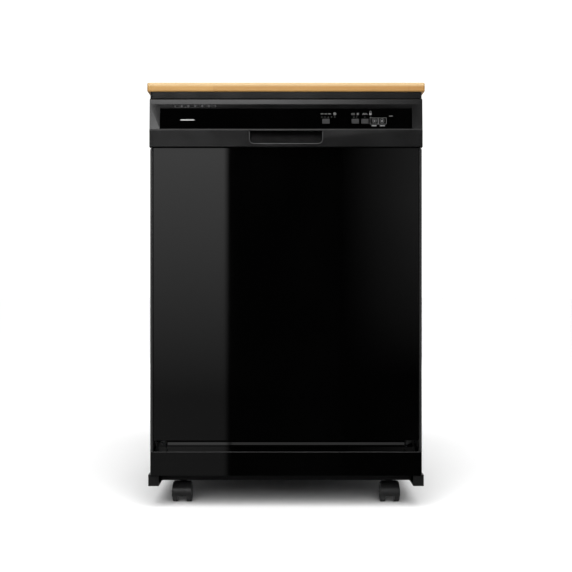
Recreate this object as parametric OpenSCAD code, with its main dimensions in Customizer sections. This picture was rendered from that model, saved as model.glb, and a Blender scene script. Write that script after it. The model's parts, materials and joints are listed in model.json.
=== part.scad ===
// Portable dishwasher on casters with a laminated wooden worktop.
// Frame: +Z up, the door faces -Y, +X is to the right of someone facing the door.
// Origin: on the floor, under the middle of the overall box.

/* [Overall] */
// Width across the worktop
overall_w = 612.8; // [608:0.1:640]
// Depth from the console face to the back edge of the worktop
overall_d = 673.1; // [665:0.1:690]
// Height from the floor to the top of the worktop
overall_h = 939.8; // [930:0.1:960]

/* [Cabinet] */
// Width across the two side panels
cabinet_w = 600; // [598:0.5:604]
// Thickness of the worktop
worktop_t = 20; // [18:0.5:24]
// How far the worktop's front edge sits behind the console face
worktop_set_back = 4; // [2:1:20]
// Thickness of the steel sheet
sheet = 1.2; // [1:0.1:1.5]

/* [Door] */
// Width of the outer door panel
door_w = 585.4; // [583:0.1:586]
// Height of the outer door panel
door_h = 645.4; // [640:0.1:645.8]
// Distance from the hinge axis to the outer face of the door
door_reach = 24; // [22:0.5:24.5]

/* [Console] */
// Width of the console
console_w = 601; // [600:0.5:602]
// Height of the console
console_h = 107.3; // [106:0.1:107.3]
// Width of the hand pocket
pocket_w = 162; // [140:1:164]
// Height of the hand pocket
pocket_h = 29; // [26:1:30]
// Travel of a push button
button_travel = 0.8; // [0.4:0.1:0.8]

/* [Casters] */
// Radius of a caster wheel
wheel_r = 22; // [20:0.5:22]
// Horizontal distance from the swivel axis to the axle
caster_trail = 14; // [10:1:15]
// Distance from the middle of the cabinet to each swivel axis
caster_x = 236; // [225:1:236]

/* [Racks] */
// Height of the lower rack's walls
lower_rack_h = 124; // [100:1:130]
// Height of the upper rack's walls
upper_rack_h = 112; // [90:1:120]
// Side of the square racking wire
wire = 3.5; // [3:0.1:4]

/* [Hidden] */
$fn = 48;
eps = 0.01;

front = -overall_d / 2;
back = overall_d / 2;
cab = cabinet_w / 2;

// Heights, from the floor up
base_low = 50;
base_top = 75;
mount_low = 55;                               // underside of the caster mounting plates
kick_low = 74;
kick_top = 126.2;
pivot_z = 152;
door_low = 150.6;
door_top = door_low + door_h;
console_low = 796.7;
console_top = console_low + console_h;
pocket_low = 804;
cabinet_top = 905;
worktop_low = overall_h - worktop_t;

// Depths, from the front back
kick_y = front + 3.55;
door_y = front + 7.05;
pivot_y = door_y + door_reach;
pan_back = pivot_y - 1.5;
liner_y = pivot_y + 24.5;                     // inner face of the door's flat rim
liner_bulge = 13;
liner_half = 283.4;
gasket_y = liner_y + 0.4;
flange_y = liner_y + 4;
side_y = front + 10.55;
shell_back = 325.6;                           // inner face of the rear panel
bin_y = 250;

// Tub
tub_wall = 3;
tub_floor = 178.5;
tub_roof = 884;
tub_half = 269;
tub_back = 222;
tub_r = 13;
sump_y = -27;
sump_r = 78;
float_at = [185, -205];

// Racks
lower_front = -240;
lower_back = 200;
lower_half = 243;
lower_z = 203;
upper_front = -250;
upper_back = 195;
upper_half = 240;
upper_z = 545;
rail_z = 603;
roller_r = 12.7;
rack_wheel_r = 16.5;
weld_gap = 0.2;

// Casters
caster_y = [-235, 245];
stem_r = 5.45;
running = 0.05;                               // radial clearance round a pin or a stem
pin_r = 4;
axle_r = 3;
hood_r = wheel_r + 3;

// Console and fascia
fascia_half = 277.5;
fascia_low = 837.4;
ledge_z = 883.3;
fascia_top = 892.2;
fascia_y = front + 5.5;
fascia_t = 3;
wall = 3;
button_z = 854.5;
key_z = 855;
vent_x = [-246, -154];

// Dispenser on the inside of the door
disp_z = 540;
disp_y = liner_y + liner_bulge + 2;           // face of the dispenser bezel
disp_half = 80;                               // half the width of the body behind the bezel
disp_up = 60;                                 // half its height
cap_x = 45;
cup_x = [-72, -3];                            // edges of the lid over the detergent cup

// Sheets, frames and openings that several pieces share
frame_half = 274;                             // inner faces of the front frame's posts
rail_in = 257;                                // inner faces of the rack rails
bin_half = 112;
bin_z = [400, 760];
gland_z = 130;
hose_x = [-110, -70];
lead_x = 100;
hinge_x = [284, 287];                         // the hinge bracket's plate
arm_x = [287.6, 290.6];                       // the hinge arm's plate
arm_tilt = 31;                                // lean of the hinge arm's lower end
arm_reach = 34;                               // hinge axis to the spring hook
spring_x = 294;
spring_z = 95;
strike_z = 886;

// ---------------------------------------------------------------- helpers

// A box between two corners
module block(lo, hi) translate(lo) cube(hi - lo);

// The same piece on both sides of the middle
module both() {
    children();
    mirror([1, 0, 0]) children();
}

// A cylinder along X from x0 to x1
module rod_x(x0, x1, y, z, r) translate([x0, y, z]) rotate([0, 90, 0]) cylinder(r = r, h = x1 - x0);

// A cylinder along Y from y0 to y1
module rod_y(y0, y1, x, z, r) translate([x, y0, z]) rotate([-90, 0, 0]) cylinder(r = r, h = y1 - y0);

// A straight round bar between two points
module bar(p, q, r) {
    d = q - p;
    length = norm(d);
    translate(p) rotate([0, acos(d[2] / length), atan2(d[1], d[0])]) cylinder(r = r, h = length);
}

// A rectangle with round corners, from corner lo to corner hi
module soft_rect(lo, hi, r) {
    translate([lo[0] + r, lo[1]]) square([hi[0] - lo[0] - 2 * r, hi[1] - lo[1]]);
    translate([lo[0], lo[1] + r]) square([hi[0] - lo[0], hi[1] - lo[1] - 2 * r]);
    for (x = [lo[0] + r, hi[0] - r], y = [lo[1] + r, hi[1] - r]) translate([x, y]) circle(r);
}

// Stands an outline drawn in X and Z up, from depth y0 back to depth y1
module along_y(y0, y1) translate([0, y1, 0]) rotate([90, 0, 0]) linear_extrude(y1 - y0) children();

// Lays an outline drawn in Y and Z along X, from x0 to x1
module along_x(x0, x1) translate([x0, 0, 0]) rotate([90, 0, 90]) linear_extrude(x1 - x0) children();

// A flat welded wire grid, w wide and h high, with nx by ny openings
module wire_grid(w, h, nx, ny) {
    px = (w - wire) / nx;
    py = (h - wire) / ny;
    linear_extrude(wire) difference() {
        square([w, h]);
        for (i = [0:nx - 1], j = [0:ny - 1])
            translate([wire + i * px, wire + j * py]) square([px - wire, py - wire]);
    }
}

// ---------------------------------------------------------------- cabinet

module worktop() color("burlywood")
    translate([0, 0, worktop_low]) linear_extrude(worktop_t)
        soft_rect([-overall_w / 2, front + worktop_set_back], [overall_w / 2, back], 6);

module top_frame() color([0.06, 0.06, 0.06])
    translate([0, 0, cabinet_top]) linear_extrude(worktop_low - cabinet_top) difference() {
        soft_rect([-cab, front + 8], [cab, 330], 6);
        soft_rect([-cab + 24, front + 48.55], [cab - 24, 306], 4);
    }

// One folded side sheet, with its flanges, on the -X side
module side_panel() color([0.04, 0.04, 0.04]) {
    notch_z = 794;
    notch_y = front + 39.55;
    flange = 5.5;
    block([-cab, side_y, base_top], [-cab + sheet, 328, notch_z]);
    block([-cab, notch_y, notch_z - eps], [-cab + sheet, 328, cabinet_top]);
    block([-cab, side_y, base_top], [-cab + flange, side_y + sheet, notch_z]);
    block([-cab, notch_y, notch_z - eps], [-cab + flange, notch_y + sheet, cabinet_top]);
    block([-cab, shell_back + sheet, base_top], [-cab + 20, 328, cabinet_top]);
    block([-cab, side_y, base_top], [-cab + 12, 320, base_top + sheet]);
}

module gland_places() {
    for (x = hose_x) translate([x, 0, gland_z]) children(0);
    translate([lead_x, 0, gland_z]) children(1);
}

module rear_panel() color([0.08, 0.08, 0.08]) difference() {
    block([-cab + 2, shell_back, base_top], [cab - 2, shell_back + sheet, cabinet_top]);
    block([-bin_half - 0.3, shell_back - 1, bin_z[0] - 0.3],
        [bin_half + 0.3, shell_back + 5, bin_z[1] + 0.3]);
    gland_places() {
        rod_y(shell_back - 1, shell_back + 5, 0, 0, 12.7);
        rod_y(shell_back - 1, shell_back + 5, 0, 0, 8.7);
    }
}

module storage_bin() color([0.1, 0.1, 0.1]) {
    difference() {
        union() {
            block([-bin_half, bin_y, bin_z[0]], [bin_half, shell_back + sheet + 1, bin_z[1]]);
            block([-bin_half - 8, shell_back + sheet, bin_z[0] - 8],
                [bin_half + 8, shell_back + sheet + 2, bin_z[1] + 8]);
        }
        block([-bin_half + 2, bin_y + 2, bin_z[0] + 2], [bin_half - 2, back, bin_z[1] - 2]);
    }
    // Pegs that the hoses and the lead wind round
    peg = 30;
    for (z = [bin_z[0] + 52, bin_z[1] - 52]) {
        block([-peg, bin_y + 2 - eps, z - 8], [peg, bin_y + 40, z + 8]);
        block([-peg, bin_y + 40 - eps, z - 16], [peg, bin_y + 44, z + 16]);
    }
}

// A flanged bush in the rear panel
module gland(body_r, bore_r) difference() {
    union() {
        rod_y(shell_back - 8, shell_back + sheet + eps, 0, 0, body_r);
        rod_y(shell_back + sheet, shell_back + sheet + 4, 0, 0, body_r + 3);
    }
    rod_y(shell_back - 9, shell_back + 9, 0, 0, bore_r);
}

module rear_glands() color([0.15, 0.15, 0.15]) gland_places() {
    gland(12.5, 9.5);
    gland(8.5, 4.5);
}

// A cross member of the base, open upwards, with its front face at y
module cross_member(y, depth, low) {
    half = 281 - weld_gap;
    block([-half, y, low], [half, y + depth, low + 3]);
    for (edge = [y, y + depth - 2]) block([-half, edge, low + 3 + weld_gap], [half, edge + 2, base_top]);
}

module base_frame() color([0.03, 0.03, 0.03]) difference() {
    leg_top = tub_floor - tub_wall;
    rail = [281, 304];
    union() {
        both() difference() {
            block([rail[0], front + 8.55, base_low], [rail[1], 326, base_top]);
            block([rail[0] - 2, front + 12.55, base_low + 2], [rail[1] - 2, 322, base_top - 2]);
        }
        cross_member(caster_y[0] - 50, 80, mount_low);
        cross_member(caster_y[1] - 40, 80, mount_low);
        cross_member(-90, 20, 60);
        cross_member(60, 20, 60);
        // Legs under the back of the tub
        both() {
            block([175, 226, mount_low + 3 + weld_gap], [195, 246, leg_top - 3 - weld_gap]);
            block([175, 150, leg_top - 3], [195, 246, leg_top]);
        }
    }
    for (x = [-1, 1], y = caster_y) translate([x * caster_x, y, mount_low - 1]) cylinder(r = 9.1, h = 5);
}

module caster_sockets() color("gray")
    for (x = [-1, 1], y = caster_y) translate([x * caster_x, y, mount_low]) difference() {
        union() {
            cylinder(r = 9, h = 20);
            translate([0, 0, 3]) cylinder(r = 14, h = 2);
        }
        translate([0, 0, -1]) cylinder(r = stem_r + running, h = 19);
    }

module front_frame() color("silver") {
    y0 = flange_y + 2;
    y1 = y0 + 14;
    both() block([frame_half, y0, base_top], [frame_half + 9, y1, cabinet_top]);
    block([-frame_half - eps, y0, 890], [frame_half + eps, y1, cabinet_top]);
    block([-frame_half - eps, y0, pivot_z], [frame_half + eps, y1, pivot_z + 20]);
}

module access_panel() color([0.05, 0.05, 0.05]) {
    half = cab - 1.5;
    t = 1.5;
    riser_y = kick_y + 37;
    riser_half = 265;
    shelf_half = 294;
    dome_x = 281;
    block([-half, kick_y, kick_low], [half, kick_y + t, kick_top]);
    block([-half, kick_y, kick_low], [half, kick_y + 4, kick_low + 1]);
    both() block([half - sheet, kick_y, base_top + 0.3], [half, kick_y + 5.5, kick_top]);
    // Riser, whose upper part leans back
    along_x(-riser_half, riser_half)
        polygon([[riser_y - t, kick_top - t], [riser_y, kick_top - t], [riser_y, 136], [riser_y + 2.8, 149],
            [riser_y + 2.8 - t, 149], [riser_y - t, 136]]);
    // Shelf behind the panel, with a domed cover and a slot at each hinge
    difference() {
        union() {
            block([-shelf_half, kick_y, kick_top - t], [shelf_half, riser_y, kick_top]);
            both() along_y(riser_y - 3, riser_y) intersection() {
                translate([dome_x, kick_top - t]) circle(15);
                translate([riser_half, kick_top - t]) square([32, 16]);
            }
        }
        both() block([hinge_x[0] - 0.4, riser_y - 16, kick_top - 3], [arm_x[1] + 0.8, riser_y + 1, 145]);
    }
}

// ---------------------------------------------------------------- hinges, springs and latch

module hinge_brackets() color("darkgray") both() {
    foot_back = pivot_y + 26.5;
    rod_x(hinge_x[0], hinge_x[1], pivot_y, pivot_z, 8.5);
    block([hinge_x[0], pivot_y, pivot_z - 8], [hinge_x[1], foot_back, pivot_z + 8]);
    block([hinge_x[0], pivot_y + 8, base_top], [hinge_x[1], foot_back, pivot_z]);
    block([262, foot_back - 6, base_top], [hinge_x[1], foot_back, base_top + 3]);
    rod_x(hinge_x[1] - eps, arm_x[1] + 0.6, pivot_y, pivot_z, pin_r);
}

module hinge_arms() color("darkgray") both() difference() {
    union() {
        rod_x(arm_x[0], arm_x[1], pivot_y, pivot_z, 11);
        block([arm_x[0], door_y + 7.5, pivot_z], [arm_x[1], pan_back, 300]);
        translate([0, pivot_y, pivot_z]) rotate([arm_tilt, 0, 0])
            block([arm_x[0], -7, -arm_reach - 6], [arm_x[1], 7, 0]);
    }
    rod_x(arm_x[0] - 1, arm_x[1] + 1, pivot_y, pivot_z, pin_r + running);
    translate([0, pivot_y, pivot_z]) rotate([arm_tilt, 0, 0])
        rod_x(arm_x[0] - 1, arm_x[1] + 1, 0, -arm_reach, 2);
}

// One tension spring and its link, beside the base
module door_spring() {
    hook_y = pivot_y + arm_reach * sin(arm_tilt);
    hook_z = pivot_z - arm_reach * cos(arm_tilt);
    coil = [-200, -90];
    rod_y(coil[0], coil[1], spring_x, spring_z, 4);
    rod_x(arm_x[0] - 0.4, spring_x - 0.4, hook_y, hook_z, 1);
    bar([spring_x - 1, hook_y, hook_z], [spring_x, coil[0] + 1, spring_z], 1);
    rod_y(coil[1] - 1, coil[1] + 30, spring_x, spring_z, 1);
    block([spring_x - 5, coil[1] + 28, base_top + sheet], [spring_x + 3, coil[1] + 31, spring_z + 6]);
}

module door_springs() color("lightgray") both() door_spring();

// The hook hangs in the slot of the door, just above the pawl
module latch_strike() color("silver") {
    block([-10, liner_y - 13, strike_z + 9], [10, flange_y + 2, strike_z + 11]);
    block([-10, liner_y - 13, strike_z], [10, liner_y - 10, strike_z + 11]);
    block([-16, flange_y - 2, strike_z + 8], [16, flange_y + 2 - eps, strike_z + 17]);
}

module door_latch() color([0.2, 0.2, 0.22]) difference() {
    block([-35, liner_y - 24, 840], [35, liner_y - 2, 883]);
    block([-6.4, liner_y - 10.4, 860], [6.4, liner_y - 3.6, 884]);
}

module latch_pawl() color("silver") block([-6, liner_y - 10, 867], [6, liner_y - 4, 885.3]);

module cabinet_screws() color("dimgray") {
    both() for (z = [120, 380, 640, 880]) rod_y(328, 329.8, cab - 10, z, 4);
    for (x = [-90, 90], z = [396, 764]) rod_y(shell_back + sheet + 2, shell_back + sheet + 3.8, x, z, 3);
}

// ---------------------------------------------------------------- tub and its fittings

module tub() color([0.78, 0.79, 0.8]) difference() {
    outer = tub_half + tub_wall;
    union() {
        along_y(flange_y, tub_back + tub_wall)
            soft_rect([-outer, tub_floor - tub_wall], [outer, tub_roof + tub_wall], tub_r + tub_wall);
        along_y(flange_y, flange_y + 2) soft_rect([-outer - 12, 160], [outer + 12, 893], 12);
    }
    along_y(flange_y - 1, tub_back)
        soft_rect([-tub_half, tub_floor], [tub_half, tub_roof], tub_r);
    translate([0, sump_y, tub_floor - 10]) cylinder(r = sump_r + 2, h = 20);
    translate([float_at[0], float_at[1], tub_floor - 10]) cylinder(r = 3.6, h = 20);
}

module tub_gasket() color([0.12, 0.12, 0.12]) along_y(gasket_y, flange_y) difference() {
    soft_rect([-281, 166], [281, 892], 16);
    soft_rect([-271, 176.5], [271, 885.5], tub_r + 2);
}

module sump() color([0.25, 0.25, 0.27]) translate([0, sump_y, 0]) {
    difference() {
        union() {
            translate([0, 0, 118]) cylinder(r = sump_r, h = tub_floor - 118 + 2);
            translate([0, 0, tub_floor]) cylinder(r = sump_r + 10, h = 2);
        }
        translate([0, 0, 121]) cylinder(r = sump_r - 3, h = 80);
    }
    translate([0, 0, 120]) cylinder(r = 14, h = 62);
    translate([0, 0, 181]) cylinder(r = 5, h = 12);
}

// A flat strainer, and a cup that stands in a hole of its own
module filter_screen() color("lightgray") translate([0, sump_y, 0]) {
    cup_at = 44;
    cup_r = 24;
    difference() {
        translate([0, 0, 170]) cylinder(r = sump_r - 3.5, h = 2);
        translate([0, 0, 169]) cylinder(r = 14.4, h = 4);
        translate([cup_at, 0, 169]) cylinder(r = cup_r + weld_gap, h = 4);
    }
    translate([cup_at, 0, 132]) difference() {
        cylinder(r = cup_r, h = 46);
        translate([0, 0, 2]) cylinder(r = cup_r - 2, h = 60);
    }
}

module heating_element() color("dimgray") translate([0, sump_y, 0]) {
    ring_r = 228;
    tube_r = 3.2;
    ring_z = tub_floor + 7;
    open_deg = 14;
    translate([0, 0, ring_z]) rotate([0, 0, -160 + open_deg / 2])
        rotate_extrude(angle = 360 - open_deg, $fn = 96) translate([ring_r, 0]) circle(tube_r);
    for (a = [-160 - open_deg / 2, -160 + open_deg / 2]) rotate([0, 0, a]) translate([ring_r, 0, tub_floor]) {
        translate([-5, -5, 0]) cube([10, 10, 12]);
        cylinder(r = 9, h = 3);
    }
    for (a = [30, 140, 250]) rotate([0, 0, a]) translate([ring_r - 5, -4, tub_floor]) cube([10, 8, 5]);
}

module wash_pump() color([0.35, 0.35, 0.38]) {
    rod_x(-222, -112, sump_y, 112, 40);
    rod_x(-112 - eps, -84, sump_y, 112, 46);
    rod_x(-84 - eps, -78.1, sump_y, 135, 13);
    block([-210, sump_y - 20, 63], [-130, sump_y + 20, 80]);
}

module drain_pump() color([0.8, 0.8, 0.78]) {
    rod_x(96, 150, sump_y, 135, 20);
    rod_x(150 - eps, 178, sump_y, 135, 26);
    rod_x(78.1, 96 + eps, sump_y, 135, 10);
    rod_y(sump_y + 15, sump_y + 45, 120, 135, 8);
}

module inlet_valve() color("white") {
    block([-262, 255, base_top], [-222, 300, 110]);
    rod_y(235, 255 + eps, -242, 96, 11);
    translate([-242, 278, 110 - eps]) cylinder(r = 15, h = 34);
}

module junction_box() color("silver") difference() {
    block([140, 252, base_top], [222, 300, 130]);
    block([142, 254, base_top + 2], [220, 301, 128]);
}

module feed_tube() color([0.7, 0.71, 0.72]) {
    block([-12, 62, tub_floor], [12, tub_back, tub_floor + 2]);
    block([-12, 207, tub_floor], [12, tub_back, 556]);
    rod_y(200, 207 + eps, 0, 534, 9);
}

module rack_rails() color("gainsboro") both() difference() {
    block([rail_in, -262, rail_z - 15], [tub_half, 215, rail_z + 15]);
    block([rail_in - 1, -263, rail_z - 13], [tub_half - 1.5, 216, rail_z + 13]);
}

module float_cap() color("white") translate([float_at[0], float_at[1], 0]) {
    difference() {
        translate([0, 0, tub_floor + 0.4]) cylinder(r = 18, h = 13);
        translate([0, 0, tub_floor]) cylinder(r = 16, h = 11);
    }
    translate([0, 0, 160]) cylinder(r = 3.2, h = 31);
}

// ---------------------------------------------------------------- door

module door_panel() color([0.02, 0.02, 0.02]) {
    half = door_w / 2;
    inner = half - sheet;
    difference() {
        block([-half, door_y, door_low], [half, pan_back, door_top]);
        block([-inner, door_y + sheet, door_low + sheet], [inner, pan_back + 1, door_top - sheet]);
        // Room for the hinge brackets
        both() block([liner_half - 0.4, pivot_y - 13, door_low - 1], [inner, pan_back + 1, door_low + 3]);
    }
}

module door_liner() color([0.82, 0.83, 0.84]) {
    half = liner_half;
    t = 1.5;
    low = pivot_z + 1;
    high = 893;
    bulge_half = 240;
    bulge = [290, 860];
    seat = 0.4;
    difference() {
        union() {
            block([-half, pan_back, low], [half, liner_y, high]);
            block([-bulge_half, liner_y - t, bulge[0]], [bulge_half, liner_y + liner_bulge, bulge[1]]);
        }
        block([-half + t, pan_back - 1, low + t], [half - t, liner_y - t, high - t]);
        block([-bulge_half + t, pan_back - 1, bulge[0] + t],
            [bulge_half - t, liner_y + liner_bulge - t, bulge[1] - t]);
        // Seat of the detergent dispenser
        block([-disp_half - seat, liner_y, disp_z - disp_up - seat],
            [disp_half + seat, liner_y + 20, disp_z + disp_up + seat]);
        // Slot for the strike
        block([-14, liner_y - 18, strike_z - 1.5], [14, liner_y + 1, high + 1]);
    }
}

// The console's section, in Y and Z: an upright lower band and an upper band that leans back
function console_section() = [
    [front + 1.5, console_low], [front, console_low + 1.5], [front, fascia_low - 3.5],
    [front + 1.2, fascia_low - 1.5], [front + 1.6, fascia_low], [front + 4.4, fascia_top],
    [front + 5, console_top - 2], [front + 7, console_top], [front + 36.5, console_top],
    [front + 36.5, console_low]];

// Mouth of the hand pocket, with round lower corners, from in front of the face back to y1
module hand_pocket_mouth(y1) {
    cup = pocket_w / 2;
    corner_r = 11;
    along_y(front - 1, y1) difference() {
        translate([-cup, pocket_low]) square([pocket_w, pocket_h]);
        for (s = [-1, 1]) difference() {
            translate([s * (cup - corner_r / 2) - corner_r / 2, pocket_low]) square(corner_r);
            translate([s * (cup - corner_r), pocket_low + corner_r]) circle(corner_r);
        }
    }
}
module console() color([0.05, 0.05, 0.05]) {
    half = console_w / 2;
    back_y = front + 36.5;
    band = 6;                                 // thickness of the face
    cup = pocket_w / 2;
    cup_top = pocket_low + pocket_h;
    reach_up = 17;                            // its height behind the fascia
    lip_y = fascia_y + fascia_t + 3.2;
    cup_back = front + 26.5;
    skin = 2.5;
    difference() {
        along_x(-half, half) polygon(console_section());
        // Hollow inside
        difference() {
            block([-half + wall, front + band, console_low + wall],
                [half - wall, back_y - 2, console_top - wall]);
            // The ledge above the fascia stays
            block([-half, front, ledge_z], [half, fascia_y + 4.5, console_top]);
        }
        // Opening at the back, where the liner comes through
        block([-liner_half - 0.6, pan_back - 0.3, console_low - 1], [liner_half + 0.6, back_y + 1, 893.6]);
        // Window for the fascia, with its sloping ledge
        block([-fascia_half, front - 1, fascia_low], [fascia_half, fascia_y + fascia_t + 3, ledge_z]);
        along_x(-fascia_half, fascia_half)
            polygon([[front - 1, ledge_z - eps], [fascia_y, ledge_z - eps], [front + 4.2, fascia_top],
                [front - 1, fascia_top]]);
        hand_pocket_mouth(front + band + 1);
        // Seat of the vent
        block([vent_x[0], front - 1, ledge_z + 1.4], [vent_x[1], fascia_y + 4, fascia_top - 1.2]);
    }
    // The hand pocket's cup, moulded apart and clipped in behind the band
    difference() {
        along_x(-cup - skin, cup + skin)
            polygon([[front + band + weld_gap, pocket_low - skin], [cup_back + skin, pocket_low - skin],
                [cup_back + skin, cup_top + reach_up + skin], [lip_y, cup_top + reach_up + skin],
                [lip_y, cup_top + skin], [front + band + weld_gap, cup_top + skin]]);
        hand_pocket_mouth(cup_back);
        block([-cup, lip_y + skin, cup_top - eps], [cup, cup_back, cup_top + reach_up]);
    }
}

module console_vent() color([0.1, 0.1, 0.1]) difference() {
    gap = 0.2;
    y0 = front + 5.5;
    pitch = 15;
    block([vent_x[0] + gap, y0, ledge_z + 1.4 + gap],
        [vent_x[1] - gap, fascia_y + 4, fascia_top - 1.2 - gap]);
    for (i = [0:5]) translate([vent_x[0] + 3 + i * pitch, 0, 0])
        block([0, y0 - 1, ledge_z + 2.8], [pitch - 4, fascia_y + 5, fascia_top - 2.8]);
}

// Places of the five buttons: middle in X, middle in Z, width and height
buttons = [[88, button_z, 16, 10.4], [152.7, button_z, 16, 10.4], [173.8, button_z, 16, 10.4],
    [194.9, key_z, 14, 11.4], [211.4, key_z, 14, 11.4]];

module fascia() color([0.01, 0.01, 0.01]) difference() {
    gap = 0.2;
    half = fascia_half - 0.3;
    block([-half, fascia_y, fascia_low + 0.3], [half, fascia_y + fascia_t, ledge_z - gap]);
    for (b = buttons)
        block([b[0] - b[2] / 2 - gap, fascia_y - 1, b[1] - b[3] / 2 - gap],
            [b[0] + b[2] / 2 + gap, fascia_y + 5, b[1] + b[3] / 2 + gap]);
}

module push_button(i) {
    b = buttons[i];
    y1 = fascia_y + fascia_t + 0.1;
    color([0.3, 0.3, 0.3]) translate([b[0], 0, b[1]]) {
        block([-b[2] / 2, fascia_y - button_travel, -b[3] / 2], [b[2] / 2, y1 + eps, b[3] / 2]);
        block([-b[2] / 2 - 1, y1, -b[3] / 2 - 0.7], [b[2] / 2 + 1, y1 + 1.4, b[3] / 2 + 0.7]);
        rod_y(y1 + 1.4 - eps, y1 + 8, 0, 0, 2.5);
    }
}

module control_board() color("darkgreen") {
    y0 = fascia_y + fascia_t + 9.2;
    block([86, y0, 842], [240, y0 + 1.6, 880]);
    for (x = [110, 135, 230]) block([x - 6, y0 + 1.6 - eps, 850], [x + 6, y0 + 6, 872]);
    block([160, y0 + 1.6 - eps, 846], [205, y0 + 9, 876]);
}

module dispenser_body() color([0.75, 0.76, 0.77]) difference() {
    union() {
        block([-disp_half, liner_y - 11, disp_z - disp_up], [disp_half, disp_y, disp_z + disp_up]);
        block([-disp_half - 70, disp_y - 2, disp_z - disp_up - 6], [disp_half + 6, disp_y, disp_z + disp_up + 6]);
        // Guides above and below the sliding lid
        for (s = [-1, 1]) {
            z0 = disp_z + s * 49.25;
            block([-148, disp_y - eps, z0 - 1.75], [-2, disp_y + 4.5, z0 + 1.75]);
            block([-148, disp_y + 3, z0 - s - 2.75], [-2, disp_y + 4.5, z0 - s + 2.75]);
        }
    }
    block([cup_x[0] + 2, liner_y - 9, disp_z - 45], [cup_x[1] - 2, disp_y + 1, disp_z + 45]);
    rod_y(disp_y - 8, disp_y + 1, cap_x, disp_z, 13);
}

module dispenser_lid() color([0.85, 0.86, 0.87]) {
    block([cup_x[0], disp_y + 0.3, disp_z - 47], [cup_x[1], disp_y + 2.6, disp_z + 47]);
    block([cup_x[1] - 9, disp_y + 2.6 - eps, disp_z - 20], [cup_x[1] - 4, disp_y + 5, disp_z + 20]);
}

module rinse_aid_cap() color([0.3, 0.45, 0.7]) {
    rod_y(disp_y - 6, disp_y + 0.3 + eps, cap_x, disp_z, 12.7);
    rod_y(disp_y + 0.3, disp_y + 4, cap_x, disp_z, 18);
    block([cap_x - 3, disp_y + 4 - eps, disp_z - 15], [cap_x + 3, disp_y + 6, disp_z + 15]);
}

// ---------------------------------------------------------------- racks and spray arms

// A basket of five flat wire grids, with its floor at z
module wire_basket(half, y0, y1, z, h, nx, ny) {
    w = 2 * half;
    d = y1 - y0;
    side_z = z + wire + weld_gap;
    side_h = h - wire - weld_gap;
    translate([-half, y0, z]) wire_grid(w, d, nx, ny);
    for (x = [-half, half - wire]) translate([x, y0, side_z]) rotate([90, 0, 90]) wire_grid(d, side_h, ny, 3);
    for (y = [y0 + wire, y1]) translate([-half + wire + weld_gap, y, side_z]) rotate([90, 0, 0])
        wire_grid(w - 2 * (wire + weld_gap), side_h, nx, 3);
}

module upper_rack() color([0.6, 0.62, 0.65])
    wire_basket(upper_half, upper_front, upper_back, upper_z, upper_rack_h, 12, 10);

module upper_rack_rollers() color([0.75, 0.75, 0.75])
    both() for (y = [-190, 135, 183]) {
        block([upper_half + weld_gap, y - 14, rail_z - 14], [upper_half + 3, y + 14, rail_z + 14]);
        rod_x(upper_half + 3 - eps, 259, y, rail_z, 3);
        rod_x(259 - eps, 266.5, y, rail_z, roller_r);
    }

module upper_manifold() color([0.7, 0.71, 0.72]) {
    block([-14, sump_y - 16, upper_z - 16], [14, 190, upper_z - weld_gap]);
    rod_y(190 - eps, 198.5, 0, 534, 9);
    translate([0, sump_y, upper_z - 28]) cylinder(r = 5, h = 13);
}

// An S shaped pair of arms on a hub, spinning about its own Z axis, from low up to low + h
module spray_arm(reach, low, h, bore_depth, jet_low) difference() {
    union() {
        translate([0, 0, low]) cylinder(r = 21, h = h);
        for (a = [0, 180]) rotate([0, 0, a]) translate([0, 0, low + 2]) linear_extrude(h - 4) {
            translate([0, -16]) square([reach * 0.45, 26]);
            translate([reach * 0.45, -3]) circle(13);
            translate([reach * 0.45, -13]) square([reach * 0.55 - 10, 20]);
            translate([reach - 10, -3]) circle(10);
        }
    }
    translate([0, 0, low - 1]) cylinder(r = 5 + running, h = bore_depth + 1);
    for (a = [0, 180], x = [0.35, 0.55, 0.72, 0.86]) rotate([0, 0, a])
        translate([reach * x, -3, jet_low]) cylinder(r = 2.2, h = 2 * h);
}

module lower_spray_arm() color([0.72, 0.73, 0.75])
    translate([0, sump_y, 0]) spray_arm(214, 183.5, 14, 10, 190);

// This arm hangs below its spindle, so it is drawn upside down and turned over
module upper_spray_arm() color([0.72, 0.73, 0.75])
    translate([0, sump_y, 528]) rotate([180, 0, 0]) spray_arm(200, 0, 13, 12, -1);

module lower_rack() color([0.6, 0.62, 0.65]) {
    wire_basket(lower_half, lower_front, lower_back, lower_z, lower_rack_h, 12, 10);
    // Rows of tines that hold the plates
    tine_h = 68;
    tine_z = lower_z + wire + weld_gap;
    row = [-228, 132];
    pitch = 29.7;
    for (y = [-145:90:125]) {
        block([row[0], y, tine_z], [row[1], y + wire, tine_z + wire]);
        for (i = [0:12]) translate([row[0] + i * pitch, y, tine_z]) cube([wire, wire, tine_h]);
    }
}

module lower_rack_wheels() color([0.55, 0.56, 0.58])
    both() for (y = [-165, -70, 55, 165]) {
        z = tub_floor + 0.4 + rack_wheel_r;
        rod_x(247, 255, y, z, rack_wheel_r);
        rod_x(lower_half + weld_gap, 247 + eps, y, z, 5);
        block([lower_half + weld_gap, y - 7, z], [lower_half + 2.4, y + 7, lower_z + 30]);
    }

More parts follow.
